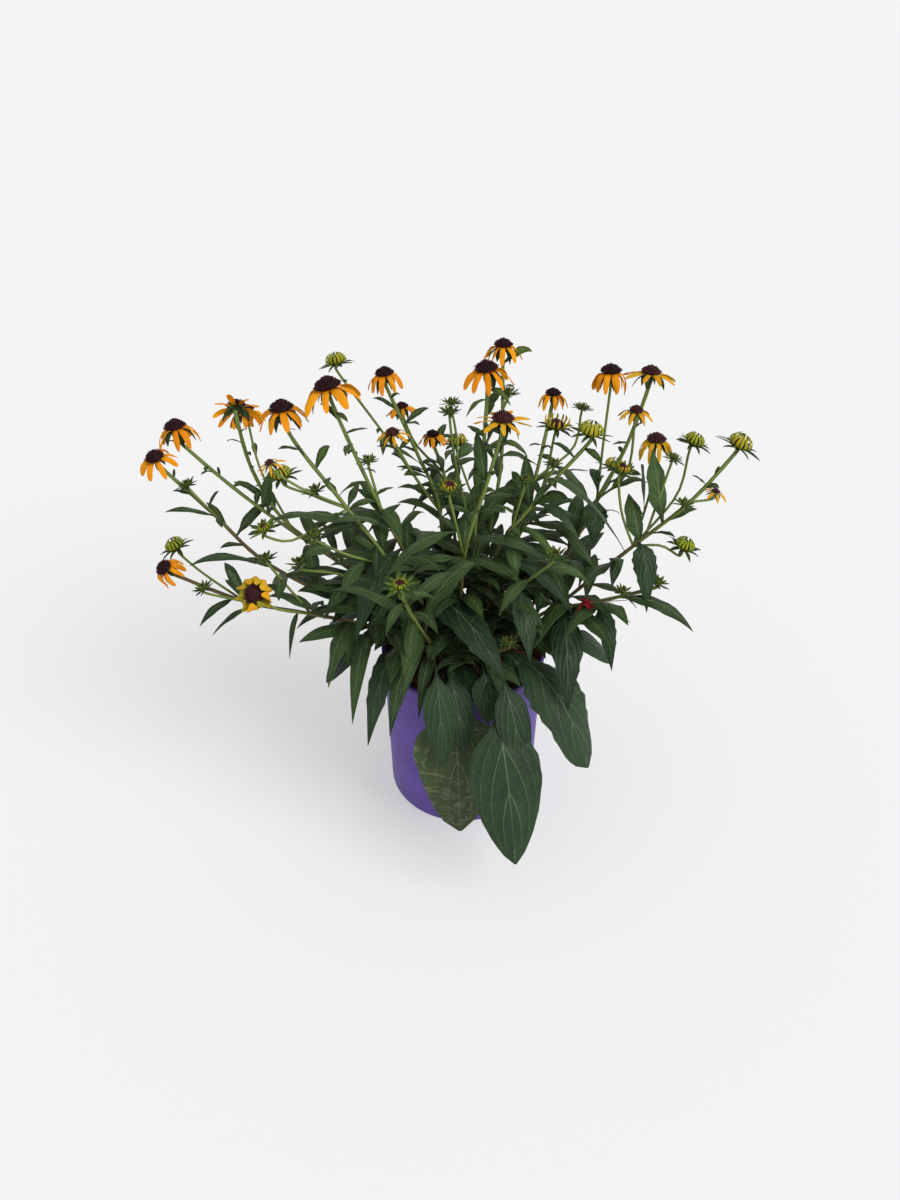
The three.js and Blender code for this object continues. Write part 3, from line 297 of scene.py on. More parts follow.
# The leaves that are set one by one: the number of the stem, a point near the root, the tip, the width, the
# outline and how far it arches, in mm.
LEAVES: list[LeafRow] = [
    (18, (14, -42, 200), (50, -186, 66), 70, BROAD, 36),
    (17, (-16, -36, 196), (12, -130, 52), 84, OLD, 56),
    (17, (-32, -42, 228), (-20, -125, 138), 32, BROAD, 22),
    (17, (-20, -38, 212), (0, -116, 146), 34, BROAD, 26),
    (15, (34, -26, 200), (120, -128, 140), 60, BLUNT, 46),
    (18, (18, -48, 215), (78, -124, 128), 34, BROAD, 40),
    (18, (16, -44, 205), (52, -104, 150), 15, LANCE, 26),
    (15, (100, -16, 247), (98, -108, 196), 30, TOOTHED, 14),
    (15, (130, -16, 255), (142, -72, 215), 18, TOOTHED, 8),
    (5, (-42, 14, 252), (38, -105, 230), 38, TOOTHED, 34),
    (16, (-120, -18, 232), (-112, -62, 212), 18, LANCE, 8),
    (16, (-90, -16, 222), (-110, -84, 155), 18, LANCE, 14),
    (16, (-60, -17, 205), (-94, -104, 145), 24, TOOTHED, 26),
    (16, (-48, -18, 195), (-72, -106, 160), 20, LANCE, 34),
    (17, (-36, -46, 238), (-60, -112, 205), 12, LANCE, 12),
    (17, (-24, -40, 218), (-44, -98, 176), 14, LANCE, 20),
    (17, (-46, -66, 270), (-52, -112, 252), 14, LANCE, 8),
    (18, (14, -42, 205), (24, -98, 168), 28, BROAD, 28),
    (12, (26, 3, 240), (63, -70, 281), 20, LANCE, 10),
    (12, (26, 4, 250), (82, -34, 286), 16, LANCE, 8),
    (12, (44, -14, 295), (62, -84, 236), 22, TOOTHED, 6),
    (15, (60, -20, 225), (86, -64, 226), 14, LANCE, 8),
    (5, (-62, 20, 290), (-116, -52, 242), 24, TOOTHED, 16),
    (9, (-6, -9, 335), (-76, -44, 302), 18, LANCE, 14),
    (6, (-20, 48, 290), (-76, -8, 262), 12, LANCE, 16),
    (6, (-18, 40, 260), (-38, 2, 246), 10, LANCE, 6),
    (9, (0, -4, 300), (42, -40, 306), 20, LANCE, 8),
    (5, (-70, 24, 312), (-122, -10, 346), 15, LANCE, 6),
    (6, (-34, 72, 338), (-58, 48, 360), 12, LANCE, 4),
    (6, (-40, 78, 350), (-84, 62, 384), 8, LANCE, 4),
    (8, (13, 32, 330), (15, 24, 402), 12, LANCE, 4),
    (14, (160, 14, 296), (74, 10, 380), 20, LANCE, 10),
    (12, (30, 8, 290), (104, -44, 262), 16, TOOTHED, 22),
    (12, (44, 14, 314), (56, -6, 350), 8, LANCE, 4),
    (12, (66, 22, 345), (112, -2, 312), 13, TOOTHED, 12),
    (13, (135, 78, 312), (126, 18, 300), 24, TOOTHED, 14),
    (12, (50, 16, 325), (96, -22, 282), 9, LANCE, 14),
    (14, (150, 12, 286), (142, -22, 278), 12, LANCE, 8),
    (14, (172, 17, 306), (178, -26, 250), 23, TOOTHED, 12),
    (14, (194, 21, 326), (178, 46, 390), 26, LANCE, -22),
    (14, (178, 40, 322), (168, 42, 376), 10, LANCE, 3),
    (13, (136, 80, 318), (122, 48, 364), 11, LANCE, 6),
    (15, (110, -17, 250), (162, -34, 244), 7, LANCE, 6),
    (1, (-188, 16, 272), (-260, -22, 304), 13, LANCE, 14),
    (1, (-240, 34, 320), (-286, 18, 338), 8, LANCE, 5),
    (16, (-215, -15, 255), (-226, -28, 304), 12, LANCE, 3),
    (16, (-225, -13, 257), (-256, -40, 244), 10, LANCE, 6),
    (16, (-200, -17, 252), (-244, -44, 236), 8, LANCE, 5),
    (16, (-165, -19, 246), (-172, -44, 205), 6, LANCE, 3),
    (16, (-150, -20, 243), (-132, -54, 280), 11, LANCE, 6),
    (1, (-235, 32, 314), (-216, 56, 362), 8, LANCE, 3),
    (4, (-100, 18, 322), (-188, 0, 338), 20, LANCE, 20),
    (3, (-48, 38, 202), (-118, 92, 170), 34, BROAD, 34),
    (3, (-38, 35, 192), (-74, 128, 128), 42, BROAD, 60),
    (6, (-18, 38, 205), (-34, 140, 118), 46, BROAD, 60),
    (10, (22, 36, 200), (26, 152, 128), 48, BROAD, 62),
    (11, (36, 22, 198), (92, 124, 132), 44, BROAD, 58),
    (13, (50, 8, 198), (138, 70, 158), 40, BROAD, 44),
    (14, (56, -8, 205), (152, -20, 178), 32, BROAD, 34),
    (2, (-46, 18, 198), (-142, 44, 176), 36, BROAD, 40),
    (1, (-54, 4, 196), (-140, -30, 160), 34, BROAD, 44),
    (7, (0, 40, 225), (-2, 118, 210), 24, TOOTHED, 18),
    (10, (24, 48, 255), (60, 112, 240), 20, TOOTHED, 14),
    (3, (-80, 44, 228), (-96, 104, 232), 18, TOOTHED, 10),
    (14, (92, 1, 238), (58, -60, 217), 26, LANCE, 12),
    (9, (-3, -10, 226), (-53, -75, 230), 22, LANCE, 14),
    (5, (-70, 24, 315), (-126, 54, 306), 20, LANCE, 24),
    (9, (4, -1, 322), (94, -21, 276), 18, LANCE, 14),
    (14, (172, 15, 300), (160, 44, 342), 22, LANCE, -10),
    (12, (62, 21, 341), (58, 44, 386), 14, LANCE, -16),
    (9, (20, 8, 375), (8, 34, 418), 14, LANCE, -16),
    (2, (-199, 43, 325), (-187, 60, 362), 12, LANCE, -14),
    (4, (-124, -7, 311), (-150, -30, 318), 16, LANCE, 12),
    (13, (138, 76, 317), (180, 60, 344), 14, LANCE, 10),
]

# A leaf or ray tries these in order until its tip meets a corner of the imported one: turn and lift in
# degrees, and share of length.
TRIES = [
    (0, 0, 1),
    (9, 0, 1),
    (-9, 0, 1),
    (0, 8, 1),
    (0, -8, 1),
    (16, 6, 0.95),
    (-16, 6, 0.95),
    (12, -8, 0.85),
    (-12, -8, 0.85),
    (25, 0, 0.85),
    (-25, 0, 0.85),
    (0, 16, 0.75),
    (0, -14, 0.75),
    (38, 8, 0.7),
    (-38, 8, 0.7),
    (0, 0, 0.6),
]

HEAD_PLANS: dict[HeadKind, HeadPlan] = {
    # Few narrow rays that hang well down.
    SMALL_BLOOM: HeadPlan(
        [RingPlan(8, 0, [(5, -3), (9, -3), (13, -9)], 1.8, 3, 0.5, 31, fold=0)],
        [RingPlan(7, 0.5, [(6, -0.6), (14, 0.5), (22, -8)], 2.2, 3, 0.95, 41, fold=-0.2)],
        (0.6, 0.6),
    ),
    # Broad flat bracts round a ring of pointed young rays and a reddish middle.
    STAR: HeadPlan(
        [
            RingPlan(8, 0, [(5.2, -2.4), (13, -1.5), (23, 0.5)], 3.2, 5, 0.6, 31),
            RingPlan(10, 0.5, [(5.5, -1), (11, 0.5), (16.5, 3)], 1.9, 4, 0.92, 37),
        ],
        [RingPlan(13, 0, [(6.4, -0.5), (9.5, 3.5), (4.6, 5)], 1, 1.5, 0.1, 41, fold=0)],
        (0.58, 0.4),
    ),
    # Bracts that stand up round the young rays.
    CUP: HeadPlan(
        [
            RingPlan(8, 0, [(5.5, -3), (13, -2), (19, 2)], 2.4, 5, 0.55, 31),
            RingPlan(9, 0.5, [(6, -1), (11.5, 1), (12.5, 7)], 2, 3, 0.85, 37),
        ],
        [RingPlan(12, 0.2, [(6.4, 0), (9.5, 4), (5.4, 6.5)], 1.1, 1.5, 0.4, 41, fold=0)],
        (0.62, 0.75),
    ),
    # Small bracts pressed to the bud, and a few that stand off.
    BUD: HeadPlan(
        [
            RingPlan(8, 0, [(4, -3.4), (14, -2), (22, 0)], 2.2, 7, 0.55, 31),
            RingPlan(9, 0.5, [(5.5, -2), (12, 1), (15, 5.5)], 2.1, 4, 0.75, 37),
            RingPlan(9, 0, [(5, 0), (8, 3.5), (5.5, 8.5)], 1.7, 2.5, 0.92, 43),
        ],
        [],
        (0.5, 0.5),
    ),
}

# Small side buds and low leaves that only the fine model has. A leaf row is its stem, root, tip, width
# and rise.
SIDE_BUDS: dict[str, list[Shoot]] = {
    "stem_04": [
        Shoot([(-118, 24, 342), (-150, 14, 366)], SMALL_BLOOM, (-179, 10, 398)),
        Shoot([(-112, 24, 338)], BUD, (-141, 20, 362)),
    ],
    "stem_12": [Shoot([(44, 14, 314)], BUD, (57, 20, 373))],
    "stem_14": [
        Shoot([(176, 18, 308)], BUD, (198, 40, 385)),
        Shoot([(190, 20, 322)], BUD, (208, 12, 352)),
    ],
    "stem_16": [Shoot([(-150, -20, 243)], BUD, (-190, -10, 304))],
}

LOW_LEAVES: list[FineLeafRow] = [
    ("stem_17", (-14, -34, 200), (-6, -98, 176), 22, 18),
    ("stem_17", (-12, -34, 196), (16, -90, 188), 18, 16),
    ("stem_18", (16, -40, 200), (40, -96, 178), 24, 20),
    ("stem_15", (34, -30, 205), (72, -84, 192), 25, 16),
]

# Spots on the mix that narrow leaves leave bare, their radius in mm, and the way from which they are seen.
BARE_SPOTS: list[Point] = [(-49, -26, 173), (51, -12, 173)]
SPOT_RADIUS = 14
SEEN_FROM = Vector((0, -0.735, 0.678))

# Sizes of the plant and its pot, in mm. Heads are sized for a scale of 1.
POT_HEIGHT, POT_RIM_RADIUS, POT_BASE_RADIUS = 185, 84, 78
POT_WALL, POT_FLOOR = 1.8, 2.2
RIM_LIP, RIM_LIP_HEIGHT = 1.4, 9
SOIL_TOP = 173
FOOT_RADIUS, FOOT_DEPTH, FOOT_TOP = 2.8, 24, 188
STEM_RADIUS, SIDE_RADIUS = 1.9, 1.3
LEAF_SPACING, BARE_NECK, LONGEST_LEAF, SHORTEST_LEAF = 48, 72, 96, 26
CROWN_HEIGHT, CROWN_FADE, HIGH_LEAF_SHARE = 285, 110, 0.4
FILL_STEP, SIDE_FILL_STEP, FULL_RADIUS = 12.5, 18, 150
# How many leaves rise from a stem's foot, the length past which a fill leaf is lance-shaped, and how far
# above the pot its tip stays.
FOOT_LEAVES, LANCE_LENGTH, ABOVE_RIM = 7, 40, 6
DISC_RADIUS, DISC_HEIGHT, DISC_BASE, DISC_RIM = 10.5, 8.6, 1.05, 0.6
HUB_RADIUS, RAY_LENGTH, RAY_HALF_WIDTH, RAY_THICKNESS = 8, 24, 3.9, 1.2
CUP_DEPTH = 5
STEMS_IN_POT = 18
TWIG_STEM = "stem_14"
# Low leaves of a stem: share of the way up it, turn, length, width, climb and rise.
CROWN_LEAVES = [(0.07, 0, 72, 24, 22, 16), (0.15, 11, 62, 17, 16, 18)]


def jitter(a: float, b: float) -> float:
    """A number from 0 to 1 that looks random and is always the same for the same two whole numbers."""
    wave = math.sin(a * 12.9898 + b * 78.233) * 43758.5453
    return wave - math.floor(wave)


def height_share(height: float) -> float:
    """The share of its length that a leaf keeps at a height in mm: above the crown the stems are airy."""
    return min(1, max(HIGH_LEAF_SHARE, 1 - (height - CROWN_HEIGHT) / CROWN_FADE))


def vec(point: Point) -> Vector:
    """A point of the plan, in mm, as a vector in metres."""
    return Vector(point) * MM


def way_to(azimuth: float, rise: float) -> Vector:
    """The direction at an azimuth and a rise above the level, both in radians."""
    return Vector((math.cos(azimuth) * math.cos(rise), math.sin(azimuth) * math.cos(rise), math.sin(rise)))


def linear(hex_colour: str) -> tuple[float, float, float, float]:
    """Turns an sRGB hex colour into the linear colour that a shader takes.

    Args:
        hex_colour: The colour as six hex digits after a hash.

    Returns:
        Linear red, green and blue, and an alpha of 1.
    """
    parts = [int(hex_colour[i : i + 2], 16) / 255 for i in (1, 3, 5)]
    red, green, blue = (c / 12.92 if c <= 0.04045 else ((c + 0.055) / 1.055) ** 2.4 for c in parts)
    return red, green, blue, 1.0


# Operators on whole objects.


def deselect_all() -> None:
    """Deselects every object."""
    bpy.ops.object.select_all(action="DESELECT")


def only(piece: bpy.types.Object) -> None:
    """Selects one object alone and makes it the active one.

    Args:
        piece: The object.
    """
    deselect_all()
    piece.select_set(True)
    bpy.context.view_layer.objects.active = piece


def joined(name: str, parts: list[bpy.types.Object]) -> bpy.types.Object:
    """Joins objects into one.

    Args:
        name: The name of the whole.
        parts: Its parts, each with its own mesh.

    Returns:
        The whole, at the origin.
    """
    deselect_all()
    for part in parts:
        part.select_set(True)
    bpy.context.view_layer.objects.active = parts[0]
    bpy.ops.object.join()
    whole = bpy.context.view_layer.objects.active
    whole.name = name
    whole.data.name = name
    return whole


def handed_in(piece: bpy.types.Object, nodes: list[str]) -> None:
    """Puts a finished piece on the plant: it rides on the pot and stands for its nodes, which it hides.

    Args:
        piece: The piece.
        nodes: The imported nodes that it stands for.
    """
    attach(piece, BODY)
    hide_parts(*nodes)
    LOG.info("%s: %d faces", piece.name, len(piece.data.polygons))


def copied(template: bpy.types.Object) -> bpy.types.Object:
    """Copies a template into the scene.

    Args:
        template: The template.

    Returns:
        The copy, with its own mesh.
    """
    copy = template.copy()
    copy.data = template.data.copy()
    bpy.context.scene.collection.objects.link(copy)
    return copy


def places_of(piece: bpy.types.Object) -> np.ndarray:
    """Reads the places of an object's vertices.

    Args:
        piece: The object.

    Returns:
        A row of x, y and z for each vertex.
    """
    places = np.empty(len(piece.data.vertices) * 3)
    piece.data.vertices.foreach_get("co", places)
    return places.reshape(-1, 3)


def put_places(piece: bpy.types.Object, places: np.ndarray) -> None:
    """Moves an object's vertices to new places."""
    piece.data.vertices.foreach_set("co", places.ravel())
    piece.data.update()


def toned(piece: bpy.types.Object, tone: float | np.ndarray) -> bpy.types.Object:
    """Gives a piece the tone that its material reads.

    Args:
        piece: The piece.
        tone: One number from 0 to 1, or one for each vertex.

    Returns:
        The piece itself.
    """
    values = np.broadcast_to(tone, len(piece.data.vertices)).astype(np.float32)
    attribute = piece.data.attributes.get("tone") or piece.data.attributes.new("tone", "FLOAT", "POINT")
    attribute.data.foreach_set("value", values)
    return piece


# Finishes.

# What the finishes' sums are made of: a node's type and settings. MIX takes its share as input 0 and its two
# colours as 6 and 7. EASE takes its value as input 0, and goes from 3 to 4 while that goes from 1 to 2.
MIX = ("ShaderNodeMix", {"data_type": "RGBA"})
EASE = ("ShaderNodeMapRange", {"interpolation_type": "SMOOTHSTEP"})
SUMS = ("ADD", "SUBTRACT", "MULTIPLY", "MULTIPLY_ADD", "DIVIDE", "POWER", "MAXIMUM", "ABSOLUTE", "PINGPONG")
ADD, SUBTRACT, MULTIPLY, MULTIPLY_ADD, DIVIDE, POWER, MAXIMUM, ABSOLUTE, PINGPONG = (
    ("ShaderNodeMath", {"operation": name}) for name in SUMS
)


def add_node(
    tree: bpy.types.NodeTree,
    kind: str,
    settings: dict[str, object] | None = None,
    inputs: dict[int | str, object] | None = None,
) -> bpy.types.Node:
    """Adds a node to a material.

    Args:
        tree: The material's node tree.
        kind: The node's type name.
        settings: The node's own settings by name.
        inputs: For each input, by name or number, a constant, an sRGB hex colour, the output that it is
            linked to, or a node whose first output in use it is linked to.

    Returns:
        The node.
    """
    node = tree.nodes.new(kind)
    for name, value in (settings or {}).items():
        setattr(node, name, value)
    for key, value in (inputs or {}).items():
        if isinstance(value, bpy.types.Node):
            value = next(output for output in value.outputs if output.enabled)
        if isinstance(value, bpy.types.NodeSocket):
            tree.links.new(value, node.inputs[key])
        else:
            node.inputs[key].default_value = linear(value) if isinstance(value, str) else value
    return node


def new_tree(name: str) -> tuple[bpy.types.Material, bpy.types.NodeTree]:
    """A new material with an empty node tree.

    Args:
        name: The material's name.

    Returns:
        The material and its tree.
    """
    material = bpy.data.materials.new(name)
    material.use_nodes = True
    material.node_tree.nodes.clear()
    return material, material.node_tree


def surface(
    tree: bpy.types.NodeTree,
    colour: bpy.types.Node | str,
    relief: bpy.types.Node | None,
    depth: float,
    constants: dict[str, float | str],
) -> None:
    """Ends a material in its shader.

    Args:
        tree: The material's node tree.
        colour: The base colour, as a node or sRGB hex.
        relief: The node that gives the height of the surface, from 0 to 1, or None for a smooth one.
        depth: The height of the relief in metres.
        constants: The shader's constant inputs by name.
    """
    inputs = {"Base Color": colour, **constants}
    if relief is not None:
        height = {"Strength": 1.0, "Distance": depth, "Height": relief}
        inputs["Normal"] = add_node(tree, "ShaderNodeBump", {}, height)
    shader = add_node(tree, "ShaderNodeBsdfPrincipled", {}, inputs)
    add_node(tree, "ShaderNodeOutputMaterial", {}, {"Surface": shader})


@dataclass(frozen=True)
class LeafFinish:
    """Living leaf skin: a thin wax over soft short hairs, so it is dull, with a faint sheen on its bends.

    The tone runs from deep green at 0 over mid green at 0.5 to the yellow-green of young bracts at 1.
    """

    name: str
    deep: str
    mid: str
    fresh: str
    vein: str
    # The side veins leave the midrib at these steps of the blade's length, and arc along to its tip.
    vein_step: float = 0.2
    vein_width: float = 0.03
    vein_share: float = 0.3
    vein_bow: float = 2.6
    midrib_width: float = 0.05
    midrib_share: float = 0.55
    roughness: float = 0.5
    # An old leaf has pale papery wrinkles across it, this far apart, that show by this share.
    wrinkle: float = 0.0
    wrinkle_step: float = 26 * MM
    net_cell: float = 4 * MM
    mottle: float = 16 * MM
    pleat: float = 0.5 * MM

    def make(self) -> bpy.types.Material:
        """Makes the material. It reads the blade's own UV, u across and v from root to tip.

        Returns:
            The material.
        """
        material, tree = new_tree(self.name)
        new = partial(add_node, tree)
        coords = new("ShaderNodeTexCoord").outputs
        across, along, _ = new("ShaderNodeSeparateXYZ", {}, {0: coords["UV"]}).outputs
        tone = new("ShaderNodeAttribute", {"attribute_name": "tone"}).outputs["Fac"]
        beside = new(*ABSOLUTE, {0: new(*SUBTRACT, {0: across, 1: 0.5})})
        bow = new(*MULTIPLY, {0: new(*POWER, {0: beside, 1: 2}), 1: self.vein_bow})
        arc = new(*MULTIPLY_ADD, {0: beside, 1: 0.5, 2: bow})
        to_vein = new(*PINGPONG, {0: new(*SUBTRACT, {0: along, 1: arc}), 1: self.vein_step / 2})
        vein = new(*EASE, {0: to_vein, 2: self.vein_width, 3: 1, 4: 0})
        vein = new(*MULTIPLY, {0: vein, 1: new(*EASE, {0: beside, 1: 0.1, 2: 0.5, 3: 1, 4: 0.35})})
        midrib = new(*EASE, {0: beside, 1: 0.2 * self.midrib_width, 2: self.midrib_width, 3: 1, 4: 0})
        fading = new(*EASE, {0: along, 1: 0.35, 2: 1, 3: self.midrib_share, 4: 0.2})
        midrib = new(*MULTIPLY, {0: midrib, 1: fading})
        lines = new(*MAXIMUM, {0: new(*MULTIPLY, {0: vein, 1: self.vein_share}), 1: midrib})
        patches = {"Vector": coords["Object"], "Scale": 1 / self.mottle, "Detail": 4.0}
        cloud = new("ShaderNodeTexNoise", {}, patches)
        cells = {"Vector": coords["Object"], "Scale": 1 / self.net_cell}
        net = new("ShaderNodeTexVoronoi", {"feature": "DISTANCE_TO_EDGE"}, cells)
        threads = new(*EASE, {0: net, 2: 0.1, 3: 1, 4: 0})
        shade = new(*MULTIPLY_ADD, {0: cloud, 1: 0.5, 2: new(*SUBTRACT, {0: tone, 1: 0.25})})
        green = new(*MIX, {0: new(*EASE, {0: shade, 2: 0.5}), 6: self.deep, 7: self.mid})
        green = new(*MIX, {0: new(*EASE, {0: shade, 1: 0.5}), 6: green, 7: self.fresh})
        green = new(*MIX, {0: new(*MULTIPLY, {0: threads, 1: 0.06}), 6: green, 7: self.vein})
        humps = new(*DIVIDE, {0: to_vein, 1: self.vein_step / 2})
        relief = new(*MULTIPLY_ADD, {0: threads, 1: -0.25, 2: humps})
        relief = new(*MULTIPLY_ADD, {0: cloud, 1: 0.6, 2: relief})
        if self.wrinkle:
            # The wrinkles are the lines on which a noise, drawn out sideways, passes its middle value.
            drawn = new("ShaderNodeMapping", {}, {"Vector": coords["Object"], "Scale": (0.7, 1.0, 1.5)})
            folds = {"Vector": drawn, "Scale": 1 / self.wrinkle_step, "Detail": 2.5, "Distortion": 1.6}
            noise = new("ShaderNodeTexNoise", {}, folds)
            off_middle = new(*ABSOLUTE, {0: new(*SUBTRACT, {0: noise, 1: 0.5})})
            creases = new(*EASE, {0: off_middle, 2: 0.045, 3: 1, 4: 0})
            green = new(*MIX, {0: new(*MULTIPLY, {0: creases, 1: self.wrinkle}), 6: green, 7: self.vein})
            relief = new(*ADD, {0: relief, 1: creases})
        green = new(*MIX, {0: lines, 6: green, 7: self.vein})
        constants = {"Roughness": self.roughness, "IOR": 1.4, "Specular IOR Level": 0.3}
        surface(tree, green, relief, self.pleat, constants)
        return material


@dataclass(frozen=True)
class StalkFinish:
    """Living stem skin: ribbed and thinly haired, so light and dark green run along it in fine stripes.

    The tone turns it from green at 0 to the brown-red of the sunlit lower stems at 1.
    """

    name: str = "stem_skin"
    dark: str = "#465a24"
    light: str = "#84954c"
    blush: str = "#5f4534"
    stripes: float = 9
    rib: float = 0.25 * MM

    def make(self) -> bpy.types.Material:
        """Makes the material. It reads the tube's own UV, u around and v along.

        Returns:
            The material.
        """
        material, tree = new_tree(self.name)
        new = partial(add_node, tree)
        uv = new("ShaderNodeTexCoord").outputs["UV"]
        drawn = new("ShaderNodeMapping", {}, {"Vector": uv, "Scale": (self.stripes, 2.0, 1.0)})
        grain = new("ShaderNodeTexNoise", {}, {"Vector": drawn, "Scale": 1.0, "Detail": 3.0})
        tone = new("ShaderNodeAttribute", {"attribute_name": "tone"}).outputs["Fac"]
        green = new(*MIX, {0: new(*EASE, {0: grain, 1: 0.35, 2: 0.65}), 6: self.dark, 7: self.light})
        green = new(*MIX, {0: new(*MULTIPLY, {0: tone, 1: 0.85}), 6: green, 7: self.blush})
        surface(tree, green, grain, self.rib, {"Roughness": 0.5, "IOR": 1.4, "Specular IOR Level": 0.3})
        return material


@dataclass(frozen=True)
class PetalFinish:
    """Petal skin: velvety cells that scatter light, so it is matt and glows evenly, with fine creases
    darkened by painted shade.

    The tone goes from the first colour at 0 to the second at 1.
    """

    name: str
    first: str
    second: str
    root: str
    # Darkens the petal's own fine lengthwise streaks and, as painted shade, the grooves of its creases.
    streak_and_crease_shade: str
    crease_step: float = 0.3
    groove: float = 0.5 * MM

    def make(self) -> bpy.types.Material:
        """Makes the material. It reads the ray's own UV, u across and v from root to tip.

        Returns:
            The material.
        """
        material, tree = new_tree(self.name)
        new = partial(add_node, tree)
        uv = new("ShaderNodeTexCoord").outputs["UV"]
        across, along, _ = new("ShaderNodeSeparateXYZ", {}, {0: uv}).outputs
        tone = new("ShaderNodeAttribute", {"attribute_name": "tone"}).outputs["Fac"]
        beside = new(*ABSOLUTE, {0: new(*SUBTRACT, {0: across, 1: 0.5})})
        offset = new(*ADD, {0: beside, 1: self.crease_step / 4})
        to_crease = new(*PINGPONG, {0: offset, 1: self.crease_step / 2})
        # The creases darken along their grooves: painted shade.
        crease_shade = new(*EASE, {0: to_crease, 2: 0.05, 3: 1, 4: 0})
        drawn = new("ShaderNodeMapping", {}, {"Vector": uv, "Scale": (22.0, 2.5, 1.0)})
        grain = new("ShaderNodeTexNoise", {}, {"Vector": drawn, "Scale": 1.0, "Detail": 2.0})
        colour = new(*MIX, {0: new(*EASE, {0: tone}), 6: self.first, 7: self.second})
        colour = new(*MIX, {0: new(*EASE, {0: along, 2: 0.4, 3: 0.8, 4: 0}), 6: colour, 7: self.root})
        fine = new(*MULTIPLY, {0: new(*EASE, {0: grain, 1: 0.5, 2: 0.7}), 1: 0.3})
        # The fine streaks are the petal's own colour; the dark of the creases is painted shade.
        lines = new(*MAXIMUM, {0: fine, 1: new(*MULTIPLY, {0: crease_shade, 1: 0.45})})
        colour = new(*MIX, {0: lines, 6: colour, 7: self.streak_and_crease_shade})
        relief = new(*MULTIPLY_ADD, {0: grain, 1: 0.15, 2: to_crease})
        constants = {"Roughness": 0.65, "IOR": 1.35, "Specular IOR Level": 0.25}
        surface(tree, colour, relief, self.groove, constants)
        return material


@dataclass(frozen=True)
class FloretFinish:
    """Tight dry disc florets: dark purple-brown, with a painted dull highlight on their tips."""

    name: str
    dark: str
    # The colour of the painted highlight on the florets' tips.
    light: str
    speck: float = 1.6 * MM

    def make(self) -> bpy.types.Material:
        """Makes the material. Its tone lightens the florets' tips: a painted highlight.

        Returns:
            The material.
        """
        material, tree = new_tree(self.name)
        new = partial(add_node, tree)
        place = new("ShaderNodeTexCoord").outputs["Object"]
        tone = new("ShaderNodeAttribute", {"attribute_name": "tone"}).outputs["Fac"]
        grain = new("ShaderNodeTexNoise", {}, {"Vector": place, "Scale": 1 / self.speck, "Detail": 2.0})
        # The tone mixes the tips toward the light colour, a painted highlight.
        share = new(*MULTIPLY, {0: new(*EASE, {0: grain, 1: 0.35, 2: 0.7}), 1: tone})
        colour = new(*MIX, {0: share, 6: self.dark, 7: self.light})
        surface(tree, colour, grain, 0.15 * MM, {"Roughness": 0.6, "IOR": 1.4, "Specular IOR Level": 0.25})
        return material


@dataclass(frozen=True)
class PotPlastic:
    """Injection-moulded polypropylene, purple: its fine eroded grain leaves it satin and not glossy."""

    name: str = "pot_polypropylene"
    colour: str = "#543992"
    worn: str = "#5e449f"
    grain: float = 0.9 * MM
    cloud: float = 60 * MM

    def make(self) -> bpy.types.Material:
        """Makes the material. The grain is drawn coarser than the real one so that it shows.

        Returns:
            The material.
        """
        material, tree = new_tree(self.name)
        new = partial(add_node, tree)
        place = new("ShaderNodeTexCoord").outputs["Object"]
        inputs = ({"Vector": place, "Scale": 1 / size, "Detail": 2.0} for size in (self.grain, self.cloud))
        fine, broad = (new("ShaderNodeTexNoise", {}, each) for each in inputs)
        colour = new(*MIX, {0: new(*EASE, {0: broad, 1: 0.35, 2: 0.7}), 6: self.colour, 7: self.worn})
        surface(tree, colour, fine, 0.06 * MM, {"Roughness": 0.5, "IOR": 1.49, "Specular IOR Level": 0.3})
        return material


@dataclass(frozen=True)
class BarkFinish:
    """Composted pine bark and peat: fibrous torn chips, from red-brown to nearly black, quite matt."""

    name: str = "composted_bark"
    dark: str = "#2a1710"
    light: str = "#7a4326"
    fibre: float = 2.5 * MM

    def make(self) -> bpy.types.Material:
        """Makes the material. Its tone picks a chip's colour between peat and fresh bark.

        Returns:
            The material.
        """
        material, tree = new_tree(self.name)
        new = partial(add_node, tree)
        place = new("ShaderNodeTexCoord").outputs["Object"]
        tone = new("ShaderNodeAttribute", {"attribute_name": "tone"}).outputs["Fac"]
        grain = new("ShaderNodeTexNoise", {}, {"Vector": place, "Scale": 1 / self.fibre, "Detail": 5.0})
        shade = new(*ADD, {0: tone, 1: new(*SUBTRACT, {0: grain, 1: 0.5})})
        colour = new(*MIX, {0: new(*EASE, {0: shade}), 6: self.dark, 7: self.light})
        surface(tree, colour, grain, 0.5 * MM, {"Roughness": 0.9, "IOR": 1.4})
        return material


@dataclass(frozen=True)
class FloorFinish:
    """A white matt floor, lit from above, with a painted glow: an even emission that pales the shadows on it.
    """

    name: str = "floor_with_painted_glow"
    colour: str = "#b8b8b8"
    # The strength of the floor's painted glow, an emission that pales the shadows on it.
    painted_glow: float = 0.405

    def make(self) -> bpy.types.Material:
        """Makes the material.

        Returns:
            The material.
        """
        material, tree = new_tree(self.name)
        painted_glow = {"Emission Color": "#ffffff", "Emission Strength": self.painted_glow}
        surface(tree, self.colour, None, 0, {"Roughness": 0.9, "IOR": 1.3, **painted_glow})
        return material


